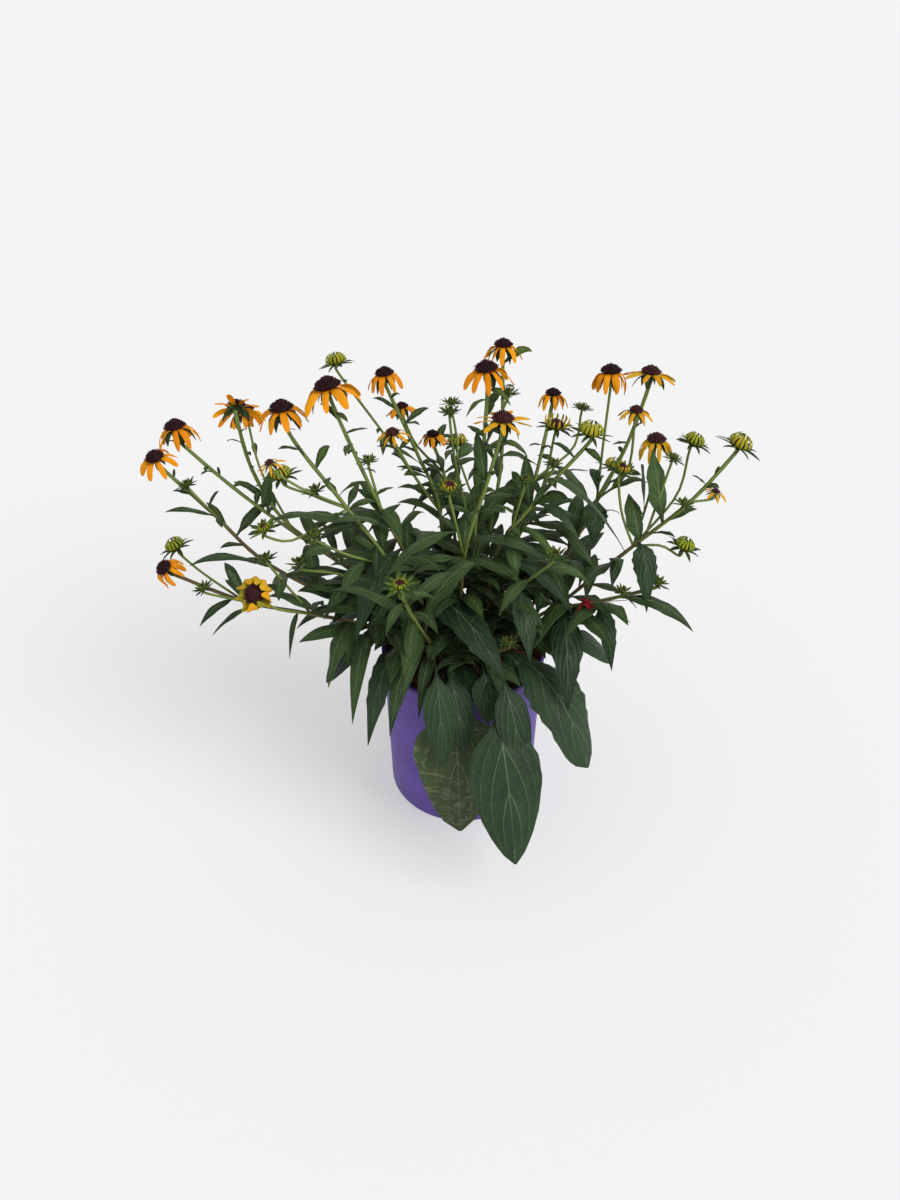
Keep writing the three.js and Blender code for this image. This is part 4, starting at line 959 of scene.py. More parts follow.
@dataclass
class Finishes:
    """Every finish of the plant, made once."""

    leaf: bpy.types.Material = field(init=False)
    lance_leaf: bpy.types.Material = field(init=False)
    broad_leaf: bpy.types.Material = field(init=False)
    underside: bpy.types.Material = field(init=False)
    aged: bpy.types.Material = field(init=False)
    stalk: bpy.types.Material = field(init=False)
    ray: bpy.types.Material = field(init=False)
    young_ray: bpy.types.Material = field(init=False)
    floret: bpy.types.Material = field(init=False)
    brown_floret: bpy.types.Material = field(init=False)
    young_floret: bpy.types.Material = field(init=False)
    withered: bpy.types.Material = field(init=False)

    def __post_init__(self) -> None:
        """Makes the materials."""
        self.leaf = LeafFinish("leaf_upper_skin", "#20301a", "#3d5428", "#7f9632", "#74895a").make()
        self.lance_leaf = LeafFinish(
            "lance_leaf_upper_skin", "#1d2d18", "#3a5127", "#7f9632", "#768b60",
            vein_step=0.17, vein_width=0.014, vein_share=0.5, vein_bow=1.3, midrib_width=0.03,
            midrib_share=0.75,
        ).make()
        self.broad_leaf = LeafFinish(
            "broad_leaf_upper_skin", "#172818", "#2a3f25", "#7f9632", "#6a8062",
            vein_step=0.19, vein_width=0.009, vein_share=0.55, vein_bow=1.1, midrib_width=0.014,
            midrib_share=0.9, net_cell=7 * MM,
        ).make()
        self.underside = LeafFinish(
            "leaf_lower_skin", "#30432a", "#4a6038", "#7f9640", "#758a5c", vein_share=0.2
        ).make()
        self.aged = LeafFinish(
            "old_leaf_skin", "#3c4a2f", "#4e5b38", "#7c7a3e", "#8d997a",
            vein_step=0.19, vein_width=0.011, vein_bow=1.1, midrib_width=0.014, midrib_share=0.7,
            roughness=0.75, wrinkle=0.3, mottle=22 * MM,
        ).make()
        self.stalk = StalkFinish().make()
        # Each petal finish's last colour darkens its fine streaks and, as painted shade, the grooves of its
        # creases.
        self.ray = PetalFinish("ray_petal", "#d87f03", "#ec9c12", "#c66e02", "#bb6902").make()
        self.young_ray = PetalFinish("young_ray_petal", "#8a9c2a", "#e6a016", "#7c8a26", "#6b7a20").make()
        self.floret = FloretFinish("disc_floret", "#1c080c", "#633640").make()
        self.brown_floret = FloretFinish("brown_disc_floret", "#32141a", "#80504a").make()
        self.young_floret = FloretFinish("young_disc_floret", "#34141a", "#8c5a50").make()
        self.withered = PetalFinish("withered_petal", "#7a0c20", "#94152c", "#4a0c14", "#3c0810").make()


# Templates: what repeats is modelled once, and copies of it are bent to their places.


@dataclass(frozen=True)
class Midrib:
    """The line that a blade is bent along: a quadratic curve in metres, and the direction across it."""

    start: np.ndarray
    crest: np.ndarray
    end: np.ndarray
    side: np.ndarray

    @classmethod
    def of_leaf(cls, root: Vector, tip: Vector, rise: float) -> "Midrib":
        """The midrib of a leaf that arches up by rise above its higher end.

        Args:
            root: Where it leaves its stem.
            tip: Its tip.
            rise: The rise in metres.

        Returns:
            The midrib, with the leaf's upper face up.
        """
        crest = root.lerp(tip, 0.6)
        crest.z = max(root.z, tip.z) + rise
        side = Vector((root.y - tip.y, tip.x - root.x, 0)).normalized()
        return cls(np.array(root), np.array(crest), np.array(tip), np.array(side))

    def point(self, share: float | np.ndarray) -> np.ndarray:
        """The point at a share of the way from start to end, or a row of points at a column of shares."""
        rest = 1 - share
        return rest**2 * self.start + 2 * share * rest * self.crest + share**2 * self.end

    @classmethod
    def of_head(cls, place: Matrix, angle: float, points: list[tuple[float, float]]) -> "Midrib":
        """The midrib of a ray or bract of a flower head.

        Args:
            place: The matrix that carries the head's own frame, in metres, to its place.
            angle: The direction round the head, in radians.
            points: The start, crest and end as distance from the axis and height, in metres.

        Returns:
            The midrib, with its upper face to the head's disc.
        """
        out = [Vector((math.cos(angle) * r, math.sin(angle) * r, h)) for r, h in points]
        side = place.to_3x3() @ Vector((-math.sin(angle), math.cos(angle), 0))
        return cls(*(np.array(place @ p) for p in out), np.array(side))


@dataclass(frozen=True)
class Lay:
    """How a blade lies on its midrib: half-width in metres, fold, edge waves, roll and twist in radians."""

    half: float
    fold: float = 0
    wave: float = 0
    waves: float = 2
    phase: float = 0
    roll: float = 0
    twist: float = 0


@dataclass
class Blade:
    """A flat blade template one wide each way from its midrib and one long, with a true thickness in metres.

    outline gives the half-width at places along the blade, and saw how deep each third row's tooth is.
    """

    name: str
    columns: int
    rows: int
    outline: list[tuple[float, float]]
    thickness: float
    saw: float = 0
    notch: float = 0
    shape: bpy.types.Object = field(init=False)

    def build(self, upper: bpy.types.Material, lower: bpy.types.Material) -> "Blade":
        """Models the template: a grid whose rows are drawn in to the outline, given its thickness.

        Args:
            upper: The material of the upper face.
            lower: The material of the lower face and the edge.

        Returns:
            The blade itself.
        """
        bpy.ops.mesh.primitive_grid_add(
            x_subdivisions=self.columns, y_subdivisions=self.rows, size=1, location=(0, 0.5, 0), calc_uvs=True
        )
        bpy.ops.object.transform_apply(location=True)
        self.shape = bpy.context.object
        self.shape.name = self.name
        bpy.ops.object.mode_set(mode="EDIT")
        bpy.ops.mesh.select_mode(type="VERT")
        for row in range(self.rows + 1):
            self._draw_in(row / self.rows)
        bpy.ops.object.mode_set(mode="OBJECT")
        self._cut_edge()
        self.shape.data.materials.append(upper)
        self.shape.data.materials.append(lower)
        shell = self.shape.modifiers.new("thickness", "SOLIDIFY")
        shell.thickness = self.thickness
        shell.offset = 0
        shell.material_offset = 1
        shell.material_offset_rim = 1
        bpy.ops.object.modifier_apply(modifier=shell.name)
        bpy.ops.object.shade_smooth_by_angle(angle=math.radians(50))
        return self

    def _draw_in(self, along: float) -> None:
        """Draws one row of the grid in, or out, to the outline.

        Args:
            along: The row's place along the blade, from 0 to 1.
        """
        mesh = bmesh.from_edit_mesh(self.shape.data)
        for vertex in mesh.verts:
            vertex.select = abs(vertex.co.y - along) < 0.25 / self.rows
        mesh.select_flush_mode()
        bmesh.update_edit_mesh(self.shape.data)
        half = float(np.interp(along, [k[0] for k in self.outline], [k[1] for k in self.outline]))
        bpy.ops.transform.resize(value=(2 * half, 1, 1), center_override=(0, along, 0))

    def _cut_edge(self) -> None:
        """Cuts the teeth of the sides and the notches of the tip."""
        places = places_of(self.shape)
        row = np.rint(places[:, 1] * self.rows)
        half = np.interp(places[:, 1], [k[0] for k in self.outline], [k[1] for k in self.outline])
        edge = np.isclose(np.abs(places[:, 0]), half, atol=1e-4)
        cut = np.where(edge & (places[:, 1] > 0.22) & (places[:, 1] < 0.8), self.saw * (1 - row % 3 / 1.5), 0)
        places[:, 0] *= 1 + cut
        across = np.abs(places[:, 0]) / np.maximum(half, 1e-6)
        last = places[:, 1] > 1 - 0.5 / self.rows
        places[:, 1] -= np.where(last, self.notch * np.abs(np.sin(math.pi * (across + 0.5) * 1.5)), 0)
        put_places(self.shape, places)

    def bent(self, midrib: Midrib, lay: Lay, tone: float) -> bpy.types.Object:
        """A copy of the template bent along a midrib.

        Args:
            midrib: The line that it follows.
            lay: How it lies there.
            tone: The tone that its material reads.

        Returns:
            The copy, with its place in its mesh.
        """
        copy = copied(self.shape)
        across, along, lift = places_of(copy).T
        t = along[:, None]
        line = midrib.point(t)
        way = 2 * (1 - t) * (midrib.crest - midrib.start) + 2 * t * (midrib.end - midrib.crest)
        way /= np.linalg.norm(way, axis=1, keepdims=True)
        up = np.cross(way, midrib.side)
        up /= np.linalg.norm(up, axis=1, keepdims=True)
        side = np.cross(up, way)
        turn = (lay.roll + lay.twist * along)[:, None]
        side, up = side * np.cos(turn) + up * np.sin(turn), up * np.cos(turn) - side * np.sin(turn)
        ripple = np.sin(2 * math.pi * (lay.waves * along + lay.phase) + np.where(across > 0, 2.1, 0))
        rise = lay.half * (lay.fold * np.abs(across) + lay.wave * across**2 * ripple) + lift
        put_places(copy, line + side * (across * lay.half)[:, None] + up * rise[:, None])
        return toned(copy, tone)


@dataclass
class Tube:
    """A round shoot along a line of points, closed at both ends."""

    sides: int = 10

    def build(
        self, line: np.ndarray, radii: np.ndarray, tones: np.ndarray, skin: bpy.types.Material
    ) -> bpy.types.Object:
        """Models the tube from a grid that is rolled up round the line.

        Args:
            line: The points of its middle, in metres.
            radii: Its radius at each point.
            tones: Its tone at each point.
            skin: Its material.

        Returns:
            The tube, with its place in its mesh.
        """
        rows = len(line) - 1
        bpy.ops.mesh.primitive_grid_add(
            x_subdivisions=self.sides, y_subdivisions=rows, size=1, location=(0, 0, 0), calc_uvs=True
        )
        tube = bpy.context.object
        places = places_of(tube)
        row = np.rint((places[:, 1] + 0.5) * rows).astype(int)
        around = 2 * math.pi * (places[:, 0] + 0.5)
        way = np.gradient(line, axis=0)
        way /= np.linalg.norm(way, axis=1, keepdims=True)
        side = np.zeros_like(way)
        side[0] = np.cross(way[0], (0.3, 1, 0))
        for i in range(1, len(way)):
            side[i] = side[i - 1] - way[i] * side[i - 1].dot(way[i])
        side /= np.linalg.norm(side, axis=1, keepdims=True)
        up = np.cross(way, side)
        out = side[row] * np.cos(around)[:, None] + up[row] * np.sin(around)[:, None]
        put_places(tube, line[row] + out * radii[row][:, None])
        toned(tube, tones[row])
        tube.data.materials.append(skin)
        bpy.ops.object.mode_set(mode="EDIT")
        bpy.ops.mesh.select_all(action="SELECT")
        bpy.ops.mesh.remove_doubles(threshold=0.01 * MM)
        bpy.ops.mesh.normals_make_consistent(inside=False)
        bpy.ops.object.mode_set(mode="OBJECT")
        bpy.ops.object.shade_smooth()
        return tube


def turned(profile: list[tuple[float, float]], sides: int, material: bpy.types.Material) -> bpy.types.Object:
    """Models a closed form of revolution about Z, ring by ring.

    Args:
        profile: Radius and height of each ring, in metres, from the first end to the last.
        sides: The number of sides.
        material: Its material.

    Returns:
        The form.
    """
    radius, height = profile[0]
    bpy.ops.mesh.primitive_circle_add(
        vertices=sides, radius=radius, location=(0, 0, height), fill_type="NGON"
    )
    bpy.ops.object.transform_apply(location=True)
    form = bpy.context.object
    bpy.ops.object.mode_set(mode="EDIT")
    bpy.ops.mesh.select_mode(type="EDGE")
    bpy.ops.mesh.select_all(action="SELECT")
    bpy.ops.mesh.region_to_loop()
    for next_radius, next_height in profile[1:]:
        bpy.ops.mesh.extrude_edges_move(TRANSFORM_OT_translate={"value": (0, 0, next_height - height)})
        scale = next_radius / radius
        bpy.ops.transform.resize(value=(scale, scale, 1), center_override=(0, 0, next_height))
        radius, height = next_radius, next_height
    bpy.ops.mesh.edge_face_add()
    bpy.ops.mesh.select_all(action="SELECT")
    bpy.ops.mesh.normals_make_consistent(inside=False)
    bpy.ops.object.mode_set(mode="OBJECT")
    form.data.materials.append(material)
    return form


@dataclass
class DiscTemplate:
    """The domed disc of a head, for a scale of 1, with its florets in the spirals that they grow in."""

    name: str
    florets: int
    floret_radius: float
    radius: float = DISC_RADIUS * MM
    height: float = DISC_HEIGHT * MM
    shape: bpy.types.Object = field(init=False)

    def build(self, finish: bpy.types.Material) -> "DiscTemplate":
        """Models the dome and one floret, and sets copies of the floret on the dome.

        Args:
            finish: The florets' material.

        Returns:
            The template itself.
        """
        rings = 8
        skirt = [(0.5 * self.radius, DISC_BASE * MM), (0.85 * self.radius, DISC_BASE * MM)]
        dome = [self._on_dome(1 - i / rings) for i in range(rings)]
        top = (0.05 * self.radius, dome[-1][1] + 0.02 * self.height)
        body = toned(turned(skirt + dome + [top], 24, finish), 0)
        body.data.shade_smooth()
        low, high = 1.05 * self.floret_radius, 0.5 * self.floret_radius
        long = 3 * self.floret_radius
        bpy.ops.mesh.primitive_cone_add(
            vertices=5, radius1=low, radius2=high, depth=long, location=(0, 0, long / 2)
        )
        bpy.ops.object.transform_apply(location=True)
        floret = bpy.context.object
        floret.data.materials.append(finish)
        parts = [body]
        for i in range(self.florets):
            parts.append(self._set_floret(floret, i, long))
        bpy.data.objects.remove(floret)
        self.shape = joined(self.name, parts)
        return self

    def _on_dome(self, out: float) -> tuple[float, float]:
        """Follows the dome's profile.

        Args:
            out: The way out along it, from 0 at its blunt top to 1 at its full rim.

        Returns:
            Distance from the axis and height there.
        """
        widths = np.interp(out, (0, 0.2, 0.45, 0.7, 0.9, 1), (0, 0.24, 0.52, 0.8, 0.95, 0.9))
        heights = np.interp(out, (0, 0.2, 0.45, 0.7, 0.9, 1), (1, 0.92, 0.72, 0.42, 0.16, 0))
        return self.radius * widths, (DISC_BASE + DISC_RIM) * MM + self.height * 0.92 * heights

    def _set_floret(self, floret: bpy.types.Object, i: int, long: float) -> bpy.types.Object:
        """Sets one copy of the floret on the dome, standing out of it.

        Args:
            floret: The floret.
            i: Its number, counted out from the top.
            long: Its length.

        Returns:
            The copy.
        """
        share = (i + 0.5) / self.florets
        radius, height = self._on_dome(share**0.62)
        angle = math.pi / 2 * share
        azimuth = GOLDEN_ANGLE * i
        foot = Vector((radius * math.cos(azimuth), radius * math.sin(azimuth), height))
        level = Vector((math.cos(azimuth), math.sin(azimuth), 0)) * math.sin(angle)
        out = (level + Vector((0, 0, math.cos(angle) + 0.12))).normalized()
        turn = Vector((0, 0, 1)).rotation_difference(out)
        size = (0.75 + 0.3 * share) * (0.8 + 0.45 * jitter(i, 4))
        copy = copied(floret)
        # Each floret's upper half takes a lighter tone: a painted highlight on its tip.
        heights = places_of(copy)[:, 2]
        toned(copy, np.where(heights > 0.5 * long, 0.55 + 0.45 * jitter(i, 2), 0.1))
        copy.data.transform(Matrix.LocRotScale(foot - out * 0.4 * long, turn, Vector.Fill(3, size)))
        return copy

    def placed(self, place: Matrix, wide: float, high: float) -> bpy.types.Object:
        """Sets a copy of the disc on a head.

        Args:
            place: The matrix that carries the head's own frame to its place.
            wide: The scale of its width.
            high: The scale of its height.

        Returns:
            The copy.
        """
        copy = copied(self.shape)
        copy.data.transform(place @ Matrix.Diagonal((wide, wide, high, 1)))
        return copy


@dataclass
class Templates:
    """Every template of the plant, modelled once."""

    finishes: Finishes
    leaves: dict[LeafForm, Blade] = field(init=False)
    fill: Blade = field(init=False)
    bract: Blade = field(init=False)
    ray: Blade = field(init=False)
    young_ray: Blade = field(init=False)
    withered: Blade = field(init=False)
    disc: DiscTemplate = field(init=False)
    brown_disc: DiscTemplate = field(init=False)
    young_disc: DiscTemplate = field(init=False)
    receptacle: bpy.types.Object = field(init=False)

    def __post_init__(self) -> None:
        """Models the templates."""
        finishes = self.finishes
        skins, lance_skins, broad_skins = (
            (upper, finishes.underside) for upper in (finishes.leaf, finishes.lance_leaf, finishes.broad_leaf)
        )
        lance = [(0, 0.1), (0.08, 0.15), (0.2, 0.62), (0.32, 0.94), (0.45, 1), (0.6, 0.87), (0.76, 0.6)]
        lance += [(0.88, 0.32), (0.96, 0.12), (1, 0.02)]
        toothed = [(0, 0.08), (0.1, 0.13), (0.2, 0.42), (0.3, 0.84), (0.4, 1), (0.55, 0.96), (0.7, 0.76)]
        toothed += [(0.84, 0.44), (0.94, 0.18), (1, 0.02)]
        blunt = [(0, 0.08), (0.12, 0.13), (0.22, 0.34), (0.33, 0.62), (0.46, 0.84), (0.6, 0.97), (0.72, 1)]
        blunt += [(0.82, 0.94), (0.9, 0.76), (0.95, 0.54), (0.985, 0.3), (1, 0.05)]
        broad = [(0, 0.06), (0.4, 0.07), (0.46, 0.15), (0.51, 0.4), (0.56, 0.72), (0.62, 0.93), (0.69, 1)]
        broad += [(0.77, 0.97), (0.85, 0.82), (0.91, 0.61), (0.95, 0.42), (0.98, 0.24), (1, 0.03)]
        heart = [(0, 0.06), (0.5, 0.07), (0.57, 0.22), (0.61, 0.6), (0.65, 0.88), (0.7, 1), (0.76, 0.98)]
        heart += [(0.83, 0.87), (0.9, 0.69), (0.95, 0.5), (0.985, 0.3), (1, 0.04)]
        thin = 0.45 * MM
        self.leaves = {
            LANCE: Blade("lance", 4, 10, lance, thin).build(*lance_skins),
            TOOTHED: Blade("toothed", 8, 21, toothed, thin, saw=0.1).build(*broad_skins),
            BROAD: Blade("broad", 10, 33, broad, thin, saw=0.025).build(*broad_skins),
            BLUNT: Blade("blunt", 8, 27, blunt, thin, saw=0.07).build(*broad_skins),
            OLD: Blade("old", 10, 33, heart, thin, saw=0.03).build(finishes.aged, finishes.aged),
        }
        narrow = [(0, 0.2), (0.18, 0.62), (0.38, 1), (0.6, 0.88), (0.8, 0.52), (0.93, 0.22), (1, 0.03)]
        self.fill = Blade("narrow", 2, 6, narrow, thin).build(*skins)
        bract = [(0, 0.6), (0.25, 0.9), (0.5, 1), (0.75, 0.68), (1, 0.04)]
        self.bract = Blade("bract", 2, 5, bract, thin).build(*skins)
        ray = [(0, 0.5), (0.15, 0.7), (0.35, 0.94), (0.6, 1), (0.8, 0.88), (0.92, 0.64), (1, 0.3)]
        strap = [(0, 0.6), (0.3, 0.95), (0.6, 1), (0.85, 0.8), (1, 0.3)]
        young, dry, thin = finishes.young_ray, finishes.withered, 0.4 * MM
        self.ray = Blade("ray", 4, 9, ray, thin, notch=0.03).build(finishes.ray, finishes.ray)
        self.young_ray = Blade("young_ray", 2, 6, strap, thin).build(young, young)
        self.withered = Blade("withered", 2, 6, strap, thin).build(dry, dry)
        self.disc = DiscTemplate("disc", 130, 1.05 * MM).build(finishes.floret)
        self.brown_disc = DiscTemplate("brown_disc", 130, 1.05 * MM).build(finishes.brown_floret)
        self.young_disc = DiscTemplate("young_disc", 60, 1.3 * MM).build(finishes.young_floret)
        rings = [(1.6, -5.2), (4.2, -4.4), (5.6, -2.8), (6.2, -1.6), (5, -0.9)]
        self.receptacle = turned([(r * MM, h * MM) for r, h in rings], 14, finishes.leaf)
        toned(self.receptacle, 0.6)
        self.receptacle.data.shade_smooth()

    def clear(self) -> None:
        """Takes the templates out of the scene once everything is built."""
        blades = [*self.leaves.values(), self.fill, self.bract, self.ray, self.young_ray, self.withered]
        discs = [self.disc, self.brown_disc, self.young_disc]
        for shape in [*(part.shape for part in blades + discs), self.receptacle]:
            bpy.data.objects.remove(shape)


# Sub-assemblies.


@dataclass
class Pot:
    """The nursery pot: a thin tapered shell with a lip at its rim and drain slots at its foot."""

    sides: int = 96
    slots: int = 3
    first_slot: float = 50
    slot_size: tuple[float, float, float] = (16, 12, 14)

    def build(self) -> None:
        """Models the pot and hands it in."""
        finish = PotPlastic().make()
        pot = turned([(r * MM, h * MM) for r, h in self._profile()], self.sides, finish)
        for i in range(self.slots):
            self._cut_slot(pot, math.radians(self.first_slot + 360 * i / self.slots))
        only(pot)
        bpy.ops.object.shade_smooth_by_angle(angle=math.radians(32))
        pot.name = "pot_shell"
        handed_in(pot, ["pot"])

    def _profile(self) -> list[tuple[float, float]]:
        """The rings of the shell from the underside round the rim to the inner floor.

        Returns:
            Radius and height of each ring, in mm.
        """

        def wall(height: float) -> float:
            """The outer radius at a height below the lip."""
            return POT_BASE_RADIUS + (POT_RIM_RADIUS - RIM_LIP - POT_BASE_RADIUS) * height / POT_HEIGHT

        lip = POT_HEIGHT - RIM_LIP_HEIGHT
        top = POT_HEIGHT
        outer = [(70, 0.6), (POT_BASE_RADIUS - 3, 0.6), (POT_BASE_RADIUS - 2, 0)]
        outer += [(POT_BASE_RADIUS - 0.8, 0.3)]
        outer += [(wall(1.6), 1.6), (wall(60), 60), (wall(120), 120), (wall(lip - 0.4), lip - 0.4)]
        rim = [(wall(lip) + 0.3, lip), (POT_RIM_RADIUS - 0.3, lip + 0.5), (POT_RIM_RADIUS, lip + 1.2)]
        rim += [(POT_RIM_RADIUS, top - 0.8), (POT_RIM_RADIUS - 0.3, top - 0.2), (POT_RIM_RADIUS - 0.9, top)]
        mouth = POT_RIM_RADIUS - RIM_LIP - POT_WALL
        inner = [(mouth + 0.3, top), (mouth, top - 0.5)]
        inner += [(wall(POT_FLOOR) - POT_WALL, POT_FLOOR), (20, POT_FLOOR)]
        return outer + rim + inner

    def _cut_slot(self, pot: bpy.types.Object, azimuth: float) -> None:
        """Cuts one drain slot through the bottom corner.

        Args:
            pot: The pot.
            azimuth: The slot's direction, in radians.
        """
        bpy.ops.mesh.primitive_cube_add(size=MM, location=(0, 0, 0), scale=self.slot_size)
        cutter = bpy.context.object
        bpy.ops.object.transform_apply(scale=True)
        out = Matrix.Translation((POT_BASE_RADIUS * MM, 0, 0))
        cutter.data.transform(Matrix.Rotation(azimuth, 4, "Z") @ out)
        only(pot)
        cut = pot.modifiers.new("drain_slot", "BOOLEAN")
        cut.operation = "DIFFERENCE"
        cut.solver = "EXACT"
        cut.object = cutter
        bpy.ops.object.modifier_apply(modifier=cut.name)
        bpy.data.objects.remove(cutter)


@dataclass
class PottingMix:
    """The bark mix: a rough bed that fills the pot, with loose chips on it."""

    chips: int = 520
    strewn_radius: float = 77
    bump: float = 2.2
    seed: int = 11

    def build(self) -> None:
        """Models the bed and the chips and hands them in."""
        finish = BarkFinish().make()
        bed = self._bed(finish)
        handed_in(bed, ["soil"])
        loose = self._loose_chips(finish)
        handed_in(loose, ["soil"])

    def _bed(self, finish: bpy.types.Material) -> bpy.types.Object:
        """Models the bed, whose top is a field of lumps.

        Args:
            finish: Its material.

        Returns:
            The bed.
        """
        wall = POT_BASE_RADIUS - POT_WALL - 0.4
        rings = [(wall - 0.5, POT_FLOOR + 0.4), (wall + 4.4, SOIL_TOP - 3)]
        rings += [(wall + 4.4 - 4 * i, SOIL_TOP - (1 if i == 0 else 0)) for i in range(20)]
        bed = turned([(max(r, 1.5) * MM, h * MM) for r, h in rings], 64, finish)
        bed.name = "potting_mix"
        places = places_of(bed)
        rng = np.random.default_rng(self.seed)
        top = places[:, 2] > (SOIL_TOP - 0.5) * MM
        places[top, 2] += self.bump * MM * (rng.random(int(top.sum())) - 0.6)
        put_places(bed, places)
        return toned(bed, 0.3)

    def _loose_chips(self, finish: bpy.types.Material) -> bpy.types.Object:
        """Models one chip and strews copies of it over the bed.

        Args:
            finish: Its material.

        Returns:
            All the chips as one piece.
        """
        bpy.ops.mesh.primitive_cube_add(size=MM, location=(0, 0, 0))
        chip = bpy.context.object
        bpy.ops.object.mode_set(mode="EDIT")
        bpy.ops.mesh.bevel(offset=0.25 * MM, segments=1)
        bpy.ops.object.mode_set(mode="OBJECT")
        chip.data.materials.append(finish)
        rng = np.random.default_rng(self.seed + 1)
        parts = []
        for _ in range(self.chips):
            radius = self.strewn_radius * math.sqrt(rng.random())
            azimuth = 2 * math.pi * rng.random()
            size = Vector((3 + 7 * rng.random(), 2 + 3.5 * rng.random(), 1 + 1.6 * rng.random()))
            turn = Matrix.Rotation(2 * math.pi * rng.random(), 4, "Z")
            turn = turn @ Matrix.Rotation(1.1 * rng.random() - 0.5, 4, "X")
            height = SOIL_TOP + 1.8 * rng.random()
            spot = Vector((radius * math.cos(azimuth), radius * math.sin(azimuth), height))
            copy = copied(chip)
            places = places_of(copy)
            put_places(copy, places + 0.22 * MM * (rng.random(places.shape) - 0.5))
            copy.data.transform(Matrix.Translation(spot * MM) @ turn @ Matrix.Diagonal((*size, 1)))
            parts.append(toned(copy, float(rng.random())))
        bpy.data.objects.remove(chip)
        return joined("bark_chips", parts)


class TipFinder:
    """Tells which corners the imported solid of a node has, and so where its blades end."""

    def __init__(self, node: str, reach: float = 0.25 * MM) -> None:
        """Reads the corners of a node.

        Args:
            node: The node's name.
            reach: How near a corner has to be.
        """
        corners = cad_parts[node].data.vertices
        self.reach = reach
        self.tree = KDTree(len(corners))
        for i, corner in enumerate(corners):
            self.tree.insert(corner.co, i)
        self.tree.balance()

    def has(self, place: Vector) -> bool:
        """Whether a corner lies at this place."""
        return self.tree.find(place)[2] < self.reach


def bent_tip(root: Vector, tip: Vector, turn: float, lift: float, scale: float) -> Vector:
    """The tip of a leaf turned about the upright through its root, lifted and drawn in.

    Args:
        root: The root.
        tip: The tip as planned.
        turn: The turn in degrees.
        lift: The lift in degrees.
        scale: The share of the length that is kept.

    Returns:
        The tip as it grew.
    """
    reach = tip - root
    azimuth = math.atan2(reach.y, reach.x) + math.radians(turn)
    rise = math.atan2(reach.z, math.hypot(reach.x, reach.y)) + math.radians(lift)
    return root + way_to(azimuth, rise) * reach.length * scale


@dataclass
class Growth:
    """The line of one shoot, with the head that it ends in."""

    stem: StemPlan
    shoot: Shoot
    index: int
    detail: HeadDetail = field(init=False)
    place: Matrix = field(init=False)
    knots: list[np.ndarray] = field(init=False)

    def __post_init__(self) -> None:
        """Works out the head's place and the points that the shoot passes."""
        self.detail = self._settings()
        axis = Vector(self.detail.axis).normalized()
        centre = vec(self.shoot.centre)
        turn = Vector((0, 0, 1)).rotation_difference(axis).to_matrix().to_4x4()
        self.place = Matrix.Translation(centre) @ turn
        size = self.detail.size * MM
        points = [vec(p) for p in self.shoot.via]
        if self.shoot.main:
            points.insert(0, vec((*self.stem.foot, FOOT_TOP)))
        points += [centre - axis * (CUP_DEPTH + 9) * size, centre - axis * (CUP_DEPTH - 1) * size]
        first, last = 2 * points[0] - points[1], 2 * points[-1] - points[-2]
        self.knots = [np.array(p) for p in [first, *points, last]]

    def _settings(self) -> HeadDetail:
        """Works out how the head faces and its size. A closed head leans the way that its stem grows.

        Returns:
            The head's details.
        """
        if self.shoot.bloom:
            return HEAD_DETAILS[self.shoot.bloom]
        sizes = {
            OPENING: 0.85,
            STAR: 0.78,
            CUP: 0.85,
            SMALL_BLOOM: 0.62,
            BUD: 0.5 + 0.12 * jitter(self.index, 7),
        }
        x, y, _ = self.shoot.centre
        return HeadDetail(axis=(x / 700, y / 700, 1), size=sizes[self.shoot.kind])

    def point(self, share: float) -> Vector:
        """The point at a share of the way.

        Args:
            share: The share, from 0 to 1.

        Returns:
            The point on the smooth curve through the shoot's points.
        """
        spans = len(self.knots) - 3
        at = min(int(share * spans), spans - 1)
        t = share * spans - at
        a, b, c, d = self.knots[at : at + 4]
        start, end = 0.5 * (c - a), 0.5 * (d - b)
        third, second = 2 * b - 2 * c + start + end, 3 * c - 3 * b - 2 * start - end
        return Vector(third * t**3 + second * t**2 + start * t + b)

    def line(self, count: int) -> list[Vector]:
        """Points at even shares of the way."""
        return [self.point(i / count) for i in range(count + 1)]

    def length(self) -> float:
        """The length along the curve, in mm."""
        points = self.line(200)
        return sum((b - a).length for a, b in zip(points, points[1:])) / MM


